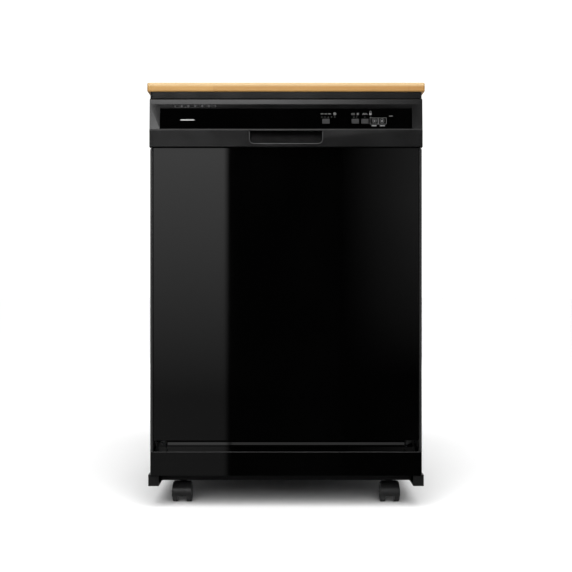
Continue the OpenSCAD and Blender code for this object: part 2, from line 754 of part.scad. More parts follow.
module cutlery_basket() color([0.5, 0.52, 0.55]) {
    x0 = 150;
    x1 = 232;
    y0 = -190;
    cells = 4;
    cell = 68;
    low = lower_z + wire + 1;
    high = low + 112;
    t = 2;
    length = cells * cell + t;
    difference() {
        block([x0, y0, low], [x1, y0 + length, high]);
        for (i = [0:cells - 1])
            block([x0 + t, y0 + t + i * cell, low + t], [x1 - t, y0 + (i + 1) * cell, high + 1]);
        // Drain slots in the long sides
        for (i = [0:cells - 1], k = [0:2]) translate([0, y0 + t + i * cell + 8 + k * 18, 0])
            block([x0 - 1, 0, low + 14], [x1 + 1, 8, high - 18]);
    }
    // Carrying handle over the middle
    mid = y0 + length / 2;
    for (s = [-1, 1]) translate([x0 + 38, mid + s * cell - 2, high - 8]) cube([6, 4, 48]);
    block([x0 + 36, mid - cell - 2, high + 38], [x0 + 46, mid + cell + 2, high + 44]);
}

// ---------------------------------------------------------------- casters

module caster_yoke() color([0.07, 0.07, 0.07]) {
    core = 9.4;
    cut_z = 15.5;
    difference() {
        union() {
            rod_x(-core, core, -caster_trail, wheel_r, hood_r - 0.5);
            difference() {
                rod_x(-wheel_r, wheel_r, -caster_trail, wheel_r, hood_r);
                rod_x(-wheel_r - 1, wheel_r + 1, -caster_trail, wheel_r, hood_r - 2);
            }
        }
        block([-40, -60, -10], [40, 30, cut_z]);
        rod_x(-core - 1, core + 1, -caster_trail, wheel_r, axle_r + running);
    }
    translate([0, 0, wheel_r + 18]) cylinder(r = 9, h = mount_low - 0.5 - wheel_r - 18);
    translate([0, 0, mount_low - 1]) cylinder(r = stem_r, h = 17.5);
}

module caster_wheels() color([0.1, 0.1, 0.1]) {
    both() rod_x(9.9, 21.6, -caster_trail, wheel_r, wheel_r);
    rod_x(-10, 10, -caster_trail, wheel_r, axle_r);
}

module at_caster(side, row) translate([side * caster_x, caster_y[row], 0]) children();

// ---------------------------------------------------------------- assembly

worktop();
top_frame();
side_panel();  // side_panel_left
mirror([1, 0, 0]) side_panel();  // side_panel_right
rear_panel();
storage_bin();
rear_glands();
base_frame();
caster_sockets();
front_frame();
tub();
tub_gasket();
sump();
filter_screen();
heating_element();
wash_pump();
drain_pump();
inlet_valve();
junction_box();
feed_tube();
rack_rails();
access_panel();
hinge_brackets();
door_springs();
latch_strike();
cabinet_screws();
door_panel();
door_liner();
console();
fascia();
console_vent();
control_board();
door_latch();
latch_pawl();
hinge_arms();
dispenser_body();
dispenser_lid();
rinse_aid_cap();
push_button(0);  // cycle_button
push_button(1);  // dry_button
push_button(2);  // option_button
push_button(3);  // start_button
push_button(4);  // cancel_button
float_cap();
upper_rack();
upper_rack_rollers();
upper_manifold();
upper_spray_arm();
lower_rack();
lower_rack_wheels();
cutlery_basket();
lower_spray_arm();
at_caster(-1, 0) caster_yoke();  // caster_yoke_front_left
at_caster(1, 0) caster_yoke();  // caster_yoke_front_right
at_caster(-1, 1) caster_yoke();  // caster_yoke_rear_left
at_caster(1, 1) caster_yoke();  // caster_yoke_rear_right
at_caster(-1, 0) caster_wheels();  // caster_wheels_front_left
at_caster(1, 0) caster_wheels();  // caster_wheels_front_right
at_caster(-1, 1) caster_wheels();  // caster_wheels_rear_left
at_caster(1, 1) caster_wheels();  // caster_wheels_rear_right
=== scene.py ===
"""Looks of a portable dishwasher on casters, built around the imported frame.

Metres, +Z up. The door faces -Y, and +X is to the right of someone facing it.
"""

import json
import math

import bmesh
import bpy
from mathutils import Matrix, Vector


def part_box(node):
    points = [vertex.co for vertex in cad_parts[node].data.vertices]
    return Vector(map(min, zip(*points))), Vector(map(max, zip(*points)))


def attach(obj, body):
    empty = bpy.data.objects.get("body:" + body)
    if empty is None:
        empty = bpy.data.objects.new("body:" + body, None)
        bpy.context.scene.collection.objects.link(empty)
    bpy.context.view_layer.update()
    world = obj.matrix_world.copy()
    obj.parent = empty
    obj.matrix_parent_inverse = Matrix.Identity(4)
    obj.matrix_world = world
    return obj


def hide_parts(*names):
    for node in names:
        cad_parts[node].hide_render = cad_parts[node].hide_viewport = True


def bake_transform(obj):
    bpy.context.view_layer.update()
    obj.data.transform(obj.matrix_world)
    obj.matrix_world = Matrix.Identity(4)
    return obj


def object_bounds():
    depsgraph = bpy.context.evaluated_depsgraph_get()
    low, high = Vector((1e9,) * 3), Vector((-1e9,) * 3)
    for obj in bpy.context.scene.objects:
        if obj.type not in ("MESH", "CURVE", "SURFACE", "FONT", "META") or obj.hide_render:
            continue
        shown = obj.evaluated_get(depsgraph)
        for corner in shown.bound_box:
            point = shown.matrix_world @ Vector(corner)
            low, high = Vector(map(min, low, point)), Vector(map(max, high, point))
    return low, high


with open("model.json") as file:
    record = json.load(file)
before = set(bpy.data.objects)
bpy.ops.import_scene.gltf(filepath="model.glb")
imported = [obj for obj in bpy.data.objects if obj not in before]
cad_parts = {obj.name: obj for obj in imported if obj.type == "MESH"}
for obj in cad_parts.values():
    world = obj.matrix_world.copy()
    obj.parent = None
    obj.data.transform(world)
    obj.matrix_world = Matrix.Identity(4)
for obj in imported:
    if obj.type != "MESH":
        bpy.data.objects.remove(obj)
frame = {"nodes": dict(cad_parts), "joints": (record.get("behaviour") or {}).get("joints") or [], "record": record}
cad_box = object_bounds()
MM = 0.001
CORNERS = ["front_left", "front_right", "rear_left", "rear_right"]
# Thickness of printed marks, in millimetres
PRINT = 0.07
# Radius where a turned shape closes to a point
POINT_R = 0.01 * MM


# ---- materials


class Nodes:
    """Short calls that add nodes to a tree."""

    def __init__(self, tree):
        self.tree = tree

    def node(self, kind, **settings):
        made = self.tree.nodes.new(kind)
        for key, value in settings.items():
            setattr(made, key, value)
        return made

    def feed(self, socket, value):
        if isinstance(value, bpy.types.NodeSocket):
            self.tree.links.new(value, socket)
        elif socket.type == "RGBA" and len(value) == 3:
            socket.default_value = (*value, 1.0)
        else:
            socket.default_value = value

    def fed(self, kind, inputs, **settings):
        """A node whose inputs are fed by name or by place."""
        made = self.node(kind, **settings)
        for socket, value in inputs.items():
            self.feed(made.inputs[socket], value)
        return made

    def axes(self, vector):
        """The X, Y and Z of a vector."""
        return self.fed("ShaderNodeSeparateXYZ", {0: vector}).outputs

    def ramp(self, value, low, high, start=0.0, end=1.0):
        """Runs from low to high as value goes from start to end. Both are numbers or both are colours."""
        if not isinstance(low, (int, float)):
            return self.mix(self.ramp(value, 0.0, 1.0, start, end), low, high)
        inputs = {"Value": value, "From Min": start, "From Max": end, "To Min": low, "To Max": high}
        return self.fed("ShaderNodeMapRange", inputs).outputs["Result"]

    def mix(self, factor, a, b):
        return self.fed("ShaderNodeMix", {0: factor, 6: a, 7: b}, data_type="RGBA").outputs[2]

    def math(self, operation, a, b=0.0):
        return self.fed("ShaderNodeMath", {0: a, 1: b}, operation=operation).outputs[0]


class Finish(Nodes):
    """A Principled material whose textures sit in the row frame."""

    def __init__(self, name, color, rough, **sockets):
        self.mat = bpy.data.materials.new(name)
        self.mat.use_nodes = True
        super().__init__(self.mat.node_tree)
        self.bsdf = self.tree.nodes["Principled BSDF"]
        self.place = self.node("ShaderNodeTexCoord").outputs["Object"]
        self.relief = None
        self.set("Base Color", color)
        self.set("Roughness", rough)
        for socket, value in sockets.items():
            self.set(socket.replace("_", " "), value)

    def set(self, socket, value):
        self.feed(self.bsdf.inputs[socket], value)

    def stretched(self, stretch):
        return self.fed("ShaderNodeMapping", {"Vector": self.place, "Scale": stretch}).outputs["Vector"]

    def noise(self, scale, detail, stretch=None, rough=0.5):
        place = self.stretched(stretch) if stretch else self.place
        inputs = {"Vector": place, "Scale": scale, "Detail": detail, "Roughness": rough}
        return self.fed("ShaderNodeTexNoise", inputs).outputs["Fac"]

    def cells(self, scale, feature="F1", output="Distance"):
        inputs = {"Vector": self.place, "Scale": scale}
        return self.fed("ShaderNodeTexVoronoi", inputs, feature=feature).outputs[output]

    def worn_edges(self):
        """0 on flat and hollow places, 1 on outer edges."""
        return self.ramp(self.node("ShaderNodeNewGeometry").outputs["Pointiness"], 0.0, 1.0, 0.53, 0.64)

    def bump(self, height, depth, strength):
        """Adds relief, depth metres deep, on top of what is there."""
        inputs = {"Strength": strength, "Distance": depth, "Height": height}
        if self.relief:
            inputs["Normal"] = self.relief
        self.relief = self.fed("ShaderNodeBump", inputs).outputs["Normal"]
        self.set("Normal", self.relief)

    def look(self, color, rough, *reliefs):
        """Sets colour and gloss, adds each (height, depth, strength) relief, and gives the material."""
        self.set("Base Color", color)
        self.set("Roughness", rough)
        for relief in reliefs:
            self.bump(*relief)
        return self.mat


def gray(shade):
    return (shade, shade, shade)


def wood_finish():
    """Oiled maple staves, glued side by side, with their grain along X and end grain at both ends, and a painted
    highlight along the rounded top edge.
    """
    made = Finish("maple_block", (0.5, 0.3, 0.1), 0.42, Coat_Weight=0.15, Coat_Roughness=0.2)
    inputs = {"Vector": made.place, "Scale": 1.0, "Brick Width": 0.43, "Row Height": 0.0365, "Bias": 0.0,
              "Mortar Size": 0.00035, "Mortar Smooth": 0.2, "Mortar": (0.19, 0.09, 0.026),
              "Color1": (0.385, 0.222, 0.067), "Color2": (0.312, 0.166, 0.043)}
    staves = made.fed("ShaderNodeTexBrick", inputs, offset=0.37, offset_frequency=2)
    bands = made.noise(1.0, 3.0, (2.2, 34.0, 60.0))
    streaks = made.noise(1.0, 5.0, (7.0, 330.0, 330.0), 0.6)
    pores = made.ramp(made.noise(1.0, 2.0, (60.0, 1700.0, 1700.0)), 0.0, 0.45, 0.62, 0.72)
    color = made.mix(made.ramp(bands, 0.0, 0.42, 0.35, 0.75), staves.outputs["Color"], (0.30, 0.145, 0.04))
    color = made.mix(made.ramp(streaks, 0.0, 0.36, 0.45, 0.75), color, (0.25, 0.115, 0.032))
    color = made.mix(pores, color, (0.18, 0.09, 0.035))
    inputs = {"Vector": made.stretched((0.0, 9.0, 26.0)), "Scale": 8.0, "Distortion": 5.0, "Detail": 2.0}
    rings = made.fed("ShaderNodeTexWave", inputs, wave_type="RINGS", rings_direction="X")
    ends = made.ramp(rings.outputs["Fac"], (0.40, 0.21, 0.075), (0.24, 0.115, 0.04))
    facing = made.axes(made.node("ShaderNodeNewGeometry").outputs["Normal"])
    end_face = made.ramp(made.math("ABSOLUTE", facing[0]), 0.0, 1.0, 0.85, 0.95)
    # Painted highlight: the rounded top edge is painted a lighter tone, as if it caught the light
    top = cad_box[1].z
    arris_highlight = made.math("MULTIPLY", made.ramp(made.axes(made.place)[2], 0.0, 0.8, top - 9.5 * MM, top - 5 * MM),
                      made.ramp(facing[2], 1.0, 0.0, 0.93, 0.995))
    color = made.mix(arris_highlight, made.mix(end_face, color, ends), (0.55, 0.40, 0.215))
    return made.look(color, made.ramp(streaks, 0.34, 0.5), (streaks, 0.00012, 0.45),
                     (staves.outputs["Fac"], 0.0002, 0.35))


def enamel_finish():
    """Enamelled steel: nearly a mirror, with a very shallow waviness and faint cleaning haze."""
    made = Finish("black_enamel", gray(0.0005), 0.03)
    haze = made.noise(9.0, 5.0, (1.0, 1.0, 0.6))
    return made.look(made.ramp(haze, gray(0.0003), gray(0.0007), 0.4, 0.9),
                     made.ramp(haze, 0.018, 0.045, 0.3, 0.8), (made.noise(14.0, 1.0), 0.00005, 0.1))


def black_plastic(name, shade, rough, grain_scale=1800.0, grain=0.00002):
    """Moulded black plastic: a fine grain, softly uneven gloss and edges rubbed a little lighter."""
    made = Finish(name, gray(shade), rough, Specular_IOR_Level=0.42)
    cloud = made.noise(22.0, 4.0)
    color = made.ramp(cloud, gray(shade * 0.8), (shade * 1.25, shade * 1.25, shade * 1.3), 0.3, 0.7)
    return made.look(made.mix(made.math("MULTIPLY", made.worn_edges(), 0.4), color, gray(shade * 3 + 0.01)),
                     made.ramp(cloud, rough * 0.85, min(1.0, rough * 1.2), 0.3, 0.7),
                     (made.noise(grain_scale, 2.0), grain, 0.5))


def powder_coat(name, shade, rough):
    """Textured powder coat on sheet steel, with edges rubbed a little brighter."""
    made = Finish(name, gray(shade), rough, Specular_IOR_Level=0.4)
    speckle = made.noise(900.0, 3.0)
    cloud = made.noise(5.0, 4.0)
    color = made.ramp(speckle, gray(shade * 0.7), gray(shade * 1.4), 0.35, 0.7)
    color = made.mix(made.ramp(cloud, 0.0, 0.35, 0.45, 0.8), color, gray(shade * 2.0))
    return made.look(made.mix(made.math("MULTIPLY", made.worn_edges(), 0.3), color, gray(shade * 3)),
                     made.ramp(speckle, rough * 0.85, rough * 1.15, 0.3, 0.7), (speckle, 0.00005, 0.4))


def light_plastic(name, color, rough, speck_depth):
    """Filled plastic, with fine dark specks and a moulded grain."""
    made = Finish(name, color, rough)
    cloud = made.noise(6.0, 4.0)
    dull, bright, dark = (tuple(c * k for c in color) for k in (0.9, 1.05, 0.6))
    base = made.ramp(cloud, dull, bright, 0.3, 0.7)
    return made.look(made.mix(made.ramp(made.cells(900.0), speck_depth, 0.0, 0.05, 0.25), base, dark),
                     made.ramp(cloud, rough * 0.85, rough * 1.15, 0.3, 0.7),
                     (made.noise(1400.0, 2.0), 0.00003, 0.4))


def zinc_finish():
    """Zinc plated steel: soft spangle, rolling lines and duller patches."""
    made = Finish("zinc_steel", (0.55, 0.56, 0.57), 0.35, Metallic=1.0)
    lines = made.noise(1.0, 3.0, (25.0, 25.0, 900.0))
    spangle = made.fed("ShaderNodeRGBToBW", {0: made.cells(180.0, output="Color")}).outputs[0]
    return made.look(made.ramp(spangle, (0.46, 0.47, 0.49), (0.62, 0.63, 0.63), 0.2, 0.8),
                     made.ramp(lines, 0.28, 0.5, 0.3, 0.7), (lines, 0.00003, 0.3))


def heater_finish():
    """A heating tube that has been hot: straw and blue tints over dark steel."""
    made = Finish("heater_tube", (0.25, 0.23, 0.22), 0.45, Metallic=1.0)
    return made.look(made.ramp(made.noise(18.0, 3.0), (0.16, 0.15, 0.17), (0.34, 0.27, 0.20), 0.35, 0.65),
                     made.ramp(made.noise(300.0, 3.0), 0.38, 0.6, 0.3, 0.7),
                     (made.noise(700.0, 2.0), 0.00003, 0.5))


def rubber(name, shade):
    """Matt rubber with a fine bloom."""
    made = Finish(name, gray(shade), 0.75)
    bloom = made.noise(60.0, 5.0)
    return made.look(made.ramp(bloom, gray(shade * 0.75), gray(shade * 1.7), 0.35, 0.75),
                     made.ramp(bloom, 0.62, 0.85, 0.3, 0.7), (made.noise(1500.0, 2.0), 0.00004, 0.5))


def board_finish():
    """Green solder mask over copper tracks."""
    made = Finish("circuit_board", (0.02, 0.14, 0.05), 0.35)
    tracks = made.cells(260.0, "DISTANCE_TO_EDGE")
    return made.look(made.ramp(tracks, (0.05, 0.26, 0.10), (0.015, 0.11, 0.04), 0.02, 0.08), 0.35,
                     (tracks, 0.00003, 0.4))


FINISHES = {
    "worktop_wood": wood_finish(),
    "black_gloss": black_plastic("console_black", 0.003, 0.2, 1500.0, 0.000006),
    "black_enamel": enamel_finish(),
    "black_satin": powder_coat("side_black", 0.014, 0.33),
    "dark_steel": powder_coat("frame_black", 0.008, 0.45),
    "zinc_steel": zinc_finish(),
    "button_grey": black_plastic("key_grey", 0.013, 0.42),
    "seal_rubber": rubber("seal_rubber", 0.018),
    "caster_tread": rubber("caster_tread", 0.022),
    "heater_steel": heater_finish(),
    "board_green": board_finish(),
}
for slot, shade, gloss in (("dark_plastic", 0.016, 0.5), ("vent_black", 0.03, 0.35),
                           ("caster_black", 0.014, 0.36), ("pump_dark", 0.035, 0.5)):
    FINISHES[slot] = black_plastic(slot, shade, gloss)
for slot, color, gloss, specks in (
        ("tub_grey", (0.27, 0.28, 0.30), 0.36, 0.5), ("liner_grey", (0.32, 0.33, 0.35), 0.32, 0.5),
        ("fitting_grey", (0.30, 0.31, 0.33), 0.4, 0.3), ("white_plastic", (0.70, 0.70, 0.68), 0.4, 0.15),
        ("blue_plastic", (0.07, 0.17, 0.42), 0.35, 0.2), ("rack_coat", (0.26, 0.28, 0.31), 0.28, 0.15)):
    FINISHES[slot] = light_plastic(slot, color, gloss, specks)
PRINT_INK = light_plastic("print_ink", gray(0.15), 0.5, 0.2)
BADGE = light_plastic("badge_silver", gray(0.34), 0.3, 0.1)
# A lighter copy of the black plastic for the rolled rims: a painted highlight along their edges
RIM_HIGHLIGHT = black_plastic("rim_highlight_black", 0.03, 0.25)
# A darker copy of the frame's black powder coat for the base frame: painted shade, low under the machine
BASE_SHADED_BLACK = powder_coat("base_shaded_black", 0.003, 0.5)
# A lighter copy of the black plastic for the storage bin, so that its deep, shaded recess reads: painted light
BIN_LIT_GREY = black_plastic("bin_lit_grey", 0.07, 0.5)
SLOT_OF = {part["node"]: part["material_slot"] for part in frame["record"]["subparts"]}


# ---- mesh helpers


def block(lo, hi, r, segments=2):
    """A box between two corners, with its edges rounded."""
    lo, hi = Vector(lo), Vector(hi)
    size = hi - lo
    bm = bmesh.new()
    bmesh.ops.create_cube(bm, size=1.0)
    for v in bm.verts:
        v.co = (lo + hi) / 2 + Vector(c * s for c, s in zip(v.co, size))
    if r:
        bmesh.ops.bevel(bm, geom=bm.edges[:], offset=min(r, 0.45 * min(size)), segments=segments,
                        profile=0.5, affect="EDGES", clamp_overlap=True)
    return bm


def rings(loops, closed=False):
    """Skins a run of equal rings of points. closed joins the last to the first, else both ends are capped."""
    bm = bmesh.new()
    made = [[bm.verts.new(p) for p in loop] for loop in loops]
    count = len(made[0])
    for a, b in zip(made, made[1:] + made[:1] if closed else made[1:]):
        for i in range(count):
            j = (i + 1) % count
            bm.faces.new((a[i], a[j], b[j], b[i]))
    if not closed:
        bm.faces.new(made[0][::-1])
        bm.faces.new(made[-1])
    bmesh.ops.recalc_face_normals(bm, faces=bm.faces[:])
    return bm


def turns(count):
    """Angles that share a full turn equally."""
    return [math.tau * i / count for i in range(count)]


def frame_at(axis):
    """Two unit vectors square to axis and to each other."""
    side = axis.orthogonal().normalized()
    return side, axis.cross(side)


def ring_at(center, u, v, r, sides):
    """Points round center, in the plane of u and v."""
    return [center + (u * math.cos(t) + v * math.sin(t)) * r for t in turns(sides)]


def lathe(profile, origin, axis, sides=40, closed=False, unit=MM):
    """Turns (radius, along) points, counted in units, about axis through origin."""
    axis = Vector(axis).normalized()
    u, v = frame_at(axis)
    loops = [ring_at(Vector(origin) + axis * (a * unit), u, v, max(r * unit, POINT_R), sides)
             for r, a in profile]
    return rings(loops, closed)


def tube(points, r, sides, closed=False):
    """A round wire of radius r along a line of points, turning as little as it can."""
    points = [Vector(p) for p in points]
    count = len(points)
    loops, u = [], None
    for i, p in enumerate(points):
        before = points[i - 1] if i or closed else p
        after = points[(i + 1) % count] if i < count - 1 or closed else p
        along = (after - before).normalized()
        u = frame_at(along)[0] if u is None else (u - along * u.dot(along)).normalized()
        loops.append(ring_at(p, u, along.cross(u), r, sides))
    return rings(loops, closed)


def bent(corners, r, steps=5, closed=False):
    """A line through corners, with each turn rounded to about radius r."""
    corners = [Vector(c) for c in corners]
    count = len(corners)
    line = []
    for i, c in enumerate(corners):
        if not closed and i in (0, count - 1):
            line.append(c)
            continue
        to_last, to_next = corners[i - 1] - c, corners[(i + 1) % count] - c
        reach = min(r, 0.45 * to_last.length, 0.45 * to_next.length)
        a, b = c + to_last.normalized() * reach, c + to_next.normalized() * reach
        for k in range(steps + 1):
            t = k / steps
            line.append(a * (1 - t) ** 2 + c * 2 * t * (1 - t) + b * t ** 2)
    return line


def round_rect(lo, hi, r, steps=6):
    """Corner points of a rectangle with round corners, in 2D, anticlockwise."""
    left, foot, right, top = lo[0] + r, lo[1] + r, hi[0] - r, hi[1] - r
    line = []
    for x, y, start in ((right, foot, -90), (right, top, 0), (left, top, 90), (left, foot, 180)):
        for k in range(steps + 1):
            a = math.radians(start + 90 * k / steps)
            line.append((x + r * math.cos(a), y + r * math.sin(a)))
    return line


def slab(outline, low, high, to_place, r=0.6 * MM, steps=2):
    """A plate from depth low to depth high with rounded rims. to_place(u, v, depth) gives a point."""
    bm = bmesh.new()
    made = [bm.verts.new(to_place(u, v, low)) for u, v in outline]
    face = bm.faces.new(made)
    shift = Vector(to_place(0, 0, high)) - Vector(to_place(0, 0, low))
    top = bmesh.ops.extrude_face_region(bm, geom=[face])
    for item in top["geom"]:
        if isinstance(item, bmesh.types.BMVert):
            item.co += shift
    bmesh.ops.recalc_face_normals(bm, faces=bm.faces[:])
    if r:
        caps = [f for f in bm.faces if len(f.verts) == len(outline)]
        edges = list({e for f in caps for e in f.edges})
        bmesh.ops.bevel(bm, geom=edges, offset=r, segments=steps, profile=0.5, affect="EDGES",
                        clamp_overlap=True)
    return bm


def oblong(x, z, w, h, r, steps=6):
    """round_rect about the middle x, z, w wide and h high."""
    return round_rect((x - w / 2, z - h / 2), (x + w / 2, z + h / 2), r, steps)


def facing_x(u, v, depth):
    return (depth, u, v)


def facing_y(u, v, depth):
    return (u, depth, v)


def moved(bm, matrix):
    """bm carried by matrix, with its faces still facing out."""
    bm.transform(matrix)
    if matrix.determinant() < 0:
        bmesh.ops.reverse_faces(bm, faces=bm.faces[:])
    return bm


def both_sides(make):
    """What make() gives, and its mirror image on the other side of the middle."""
    return [make(), moved(make(), Matrix.Scale(-1, 4, (1, 0, 0)))]


def joined(parts):
    """One mesh made of several, which are used up."""
    whole = bmesh.new()
    for part in parts:
        scratch = bpy.data.meshes.new("scratch")
        part.to_mesh(scratch)
        part.free()
        whole.from_mesh(scratch)
        bpy.data.meshes.remove(scratch)
    return whole


def new_object(name, data):
    """Puts data into the scene."""
    obj = bpy.data.objects.new(name, data)
    bpy.context.scene.collection.objects.link(obj)
    return obj


def mesh_object(name, bm, material=None):
    """Puts a bmesh into the scene, and uses it up."""
    mesh = bpy.data.meshes.new(name)
    bm.to_mesh(mesh)
    bm.free()
    if material:
        mesh.materials.append(material)
    return new_object(name, mesh)


def modify(obj, name, kind, **settings):
    """Adds a modifier."""
    made = obj.modifiers.new(name, kind)
    for key, value in settings.items():
        setattr(made, key, value)


def carved(base, cutter):
    """base with cutter cut out of it."""
    base, cutter = (mesh_object("scratch", bm) for bm in (base, cutter))
    modify(base, "cut", "BOOLEAN", object=cutter, operation="DIFFERENCE", solver="EXACT")
    result = bmesh.new()
    shown = base.evaluated_get(bpy.context.evaluated_depsgraph_get())
    result.from_mesh(shown.to_mesh())
    shown.to_mesh_clear()
    for obj in (base, cutter):
        bpy.data.meshes.remove(obj.data)
    return result


def smooth_object(name, parts, material):
    """One smooth-shaded object from a list of meshes."""
    obj = mesh_object(name, joined(parts), material)
    obj.data.polygons.foreach_set("use_smooth", [True] * len(obj.data.polygons))
    return obj


def piece(name, parts, body, slot, stands_for=(), finish=None, sharp=35):
    """One finished object from a list of meshes, riding on a body."""
    obj = smooth_object(name, parts, finish or FINISHES[slot])
    obj.data.set_sharp_from_angle(angle=math.radians(sharp))
    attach(obj, body)
    if stands_for:
        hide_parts(*stands_for)


def solids(node):
    """The two corners of each separate solid in a CAD node, from low to high in X, then Y, then Z."""
    bm = bmesh.new()
    bm.from_mesh(frame["nodes"][node].data)
    bmesh.ops.remove_doubles(bm, verts=bm.verts[:], dist=0.005 * MM)
    left, found = set(bm.verts), []
    while left:
        reached = [left.pop()]
        points = []
        while reached:
            v = reached.pop()
            points.append(v.co.copy())
            near = {e.other_vert(v) for e in v.link_edges} & left
            left -= near
            reached.extend(near)
        found.append(tuple(Vector(pick(p[k] for p in points) for k in range(3)) for pick in (min, max)))
    bm.free()
    return sorted(found, key=lambda b: [round(c, 4) for c in b[0]])


def middle(corners):
    return (corners[0] + corners[1]) / 2


# ---- carried-over CAD nodes


# Nodes whose flat faces have holes that would close if the triangles in them were joined
KEEPS_FACETS = {"storage_bin"}
# Nodes of folded sheet, where a shallow bend shows as a line
CRISP_BENDS = {"access_panel"}


def crisp_bends():
    """Geometry nodes that keep each edge sharper than ten degrees crisp."""
    tree = bpy.data.node_groups.new("crisp_bends", "GeometryNodeTree")
    for way in ("INPUT", "OUTPUT"):
        tree.interface.new_socket("Geometry", in_out=way, socket_type="NodeSocketGeometry")
    made = Nodes(tree)
    angle = made.node("GeometryNodeInputMeshEdgeAngle").outputs["Unsigned Angle"]
    crisp = made.fed("GeometryNodeSetShadeSmooth",
                     {"Geometry": made.node("NodeGroupInput").outputs[0], "Shade Smooth": False,
                      "Selection": made.math("GREATER_THAN", angle, math.radians(10))}, domain="EDGE")
    made.fed("NodeGroupOutput", {0: crisp.outputs[0]})
    return tree


# How far each node's edges are rounded in millimetres, where it isn't half a millimetre
ROUNDING = {
    "worktop": 2.6, "door_panel": 1.6, "console": 1.1, "fascia": 0.5, "tub": 1.2, "dispenser_body": 0.9,
    "dispenser_lid": 0.7, "rinse_aid_cap": 0.9, "float_cap": 1.4, "feed_tube": 0.9, "storage_bin": 0.9,
    "base_frame": 0.9, "top_frame": 1.5, "sump": 0.8, "wash_pump": 1.5, "drain_pump": 1.5, "inlet_valve": 1.5,
    "upper_manifold": 2.0, "tub_gasket": 1.2, "rear_glands": 0.9, "access_panel": 1.0,
}
# Blackened steel takes the place of bright zinc where the hinges show under the door
OTHER_FINISH = {
    "hinge_arms": FINISHES["dark_steel"], "hinge_brackets": FINISHES["dark_steel"],
    # The storage bin takes a lighter copy of the black plastic: painted light in its recess
    "fascia": FINISHES["black_enamel"], "top_frame": FINISHES["black_gloss"], "storage_bin": BIN_LIT_GREY,
    # The base frame takes the darker copy of the powder coat, as painted shade
    "base_frame": BASE_SHADED_BLACK,
}


def dress(node):
    """Gives a CAD node its finish, and rounds its edges with modifiers."""
    obj = frame["nodes"][node]
    obj.data.materials.clear()
    obj.data.materials.append(OTHER_FINISH.get(node) or FINISHES[SLOT_OF[node]])
    modify(obj, "weld", "WELD", merge_threshold=0.02 * MM)
    if node not in KEEPS_FACETS:
        modify(obj, "flat", "DECIMATE", decimate_type="DISSOLVE", angle_limit=math.radians(0.5))
    modify(obj, "soft", "BEVEL", width=ROUNDING.get(node, 0.5) * MM, segments=3 if node in ROUNDING else 2,
           limit_method="ANGLE", angle_limit=math.radians(32), miter_outer="MITER_ARC")
    if node in CRISP_BENDS:
        modify(obj, "bends", "NODES", node_group=crisp_bends())
    modify(obj, "flats", "WEIGHTED_NORMAL", weight=90, keep_sharp=node in CRISP_BENDS)
    for polygon in obj.data.polygons:
        polygon.use_smooth = True


# ---- fascia marks


def front_bar(x, z, w, h, y, r=None):
    """A thin printed bar, w by h millimetres with corners of r, its middle at x, z and its back at y."""
    r = min(w, h) * 0.49 if r is None else r
    return slab(oblong(x, z, w * MM, h * MM, r * MM, 3), y, y - PRINT * MM, facing_y, r=0)


def front_ring(x, z, r, line, y, sides=28):
    """A thin printed ring round x, z, with its radius and its line in millimetres."""
    profile = [(r - line, 0), (r, 0), (r, PRINT), (r - line, PRINT)]
    return lathe(profile, (x, y, z), (0, -1, 0), sides, closed=True)


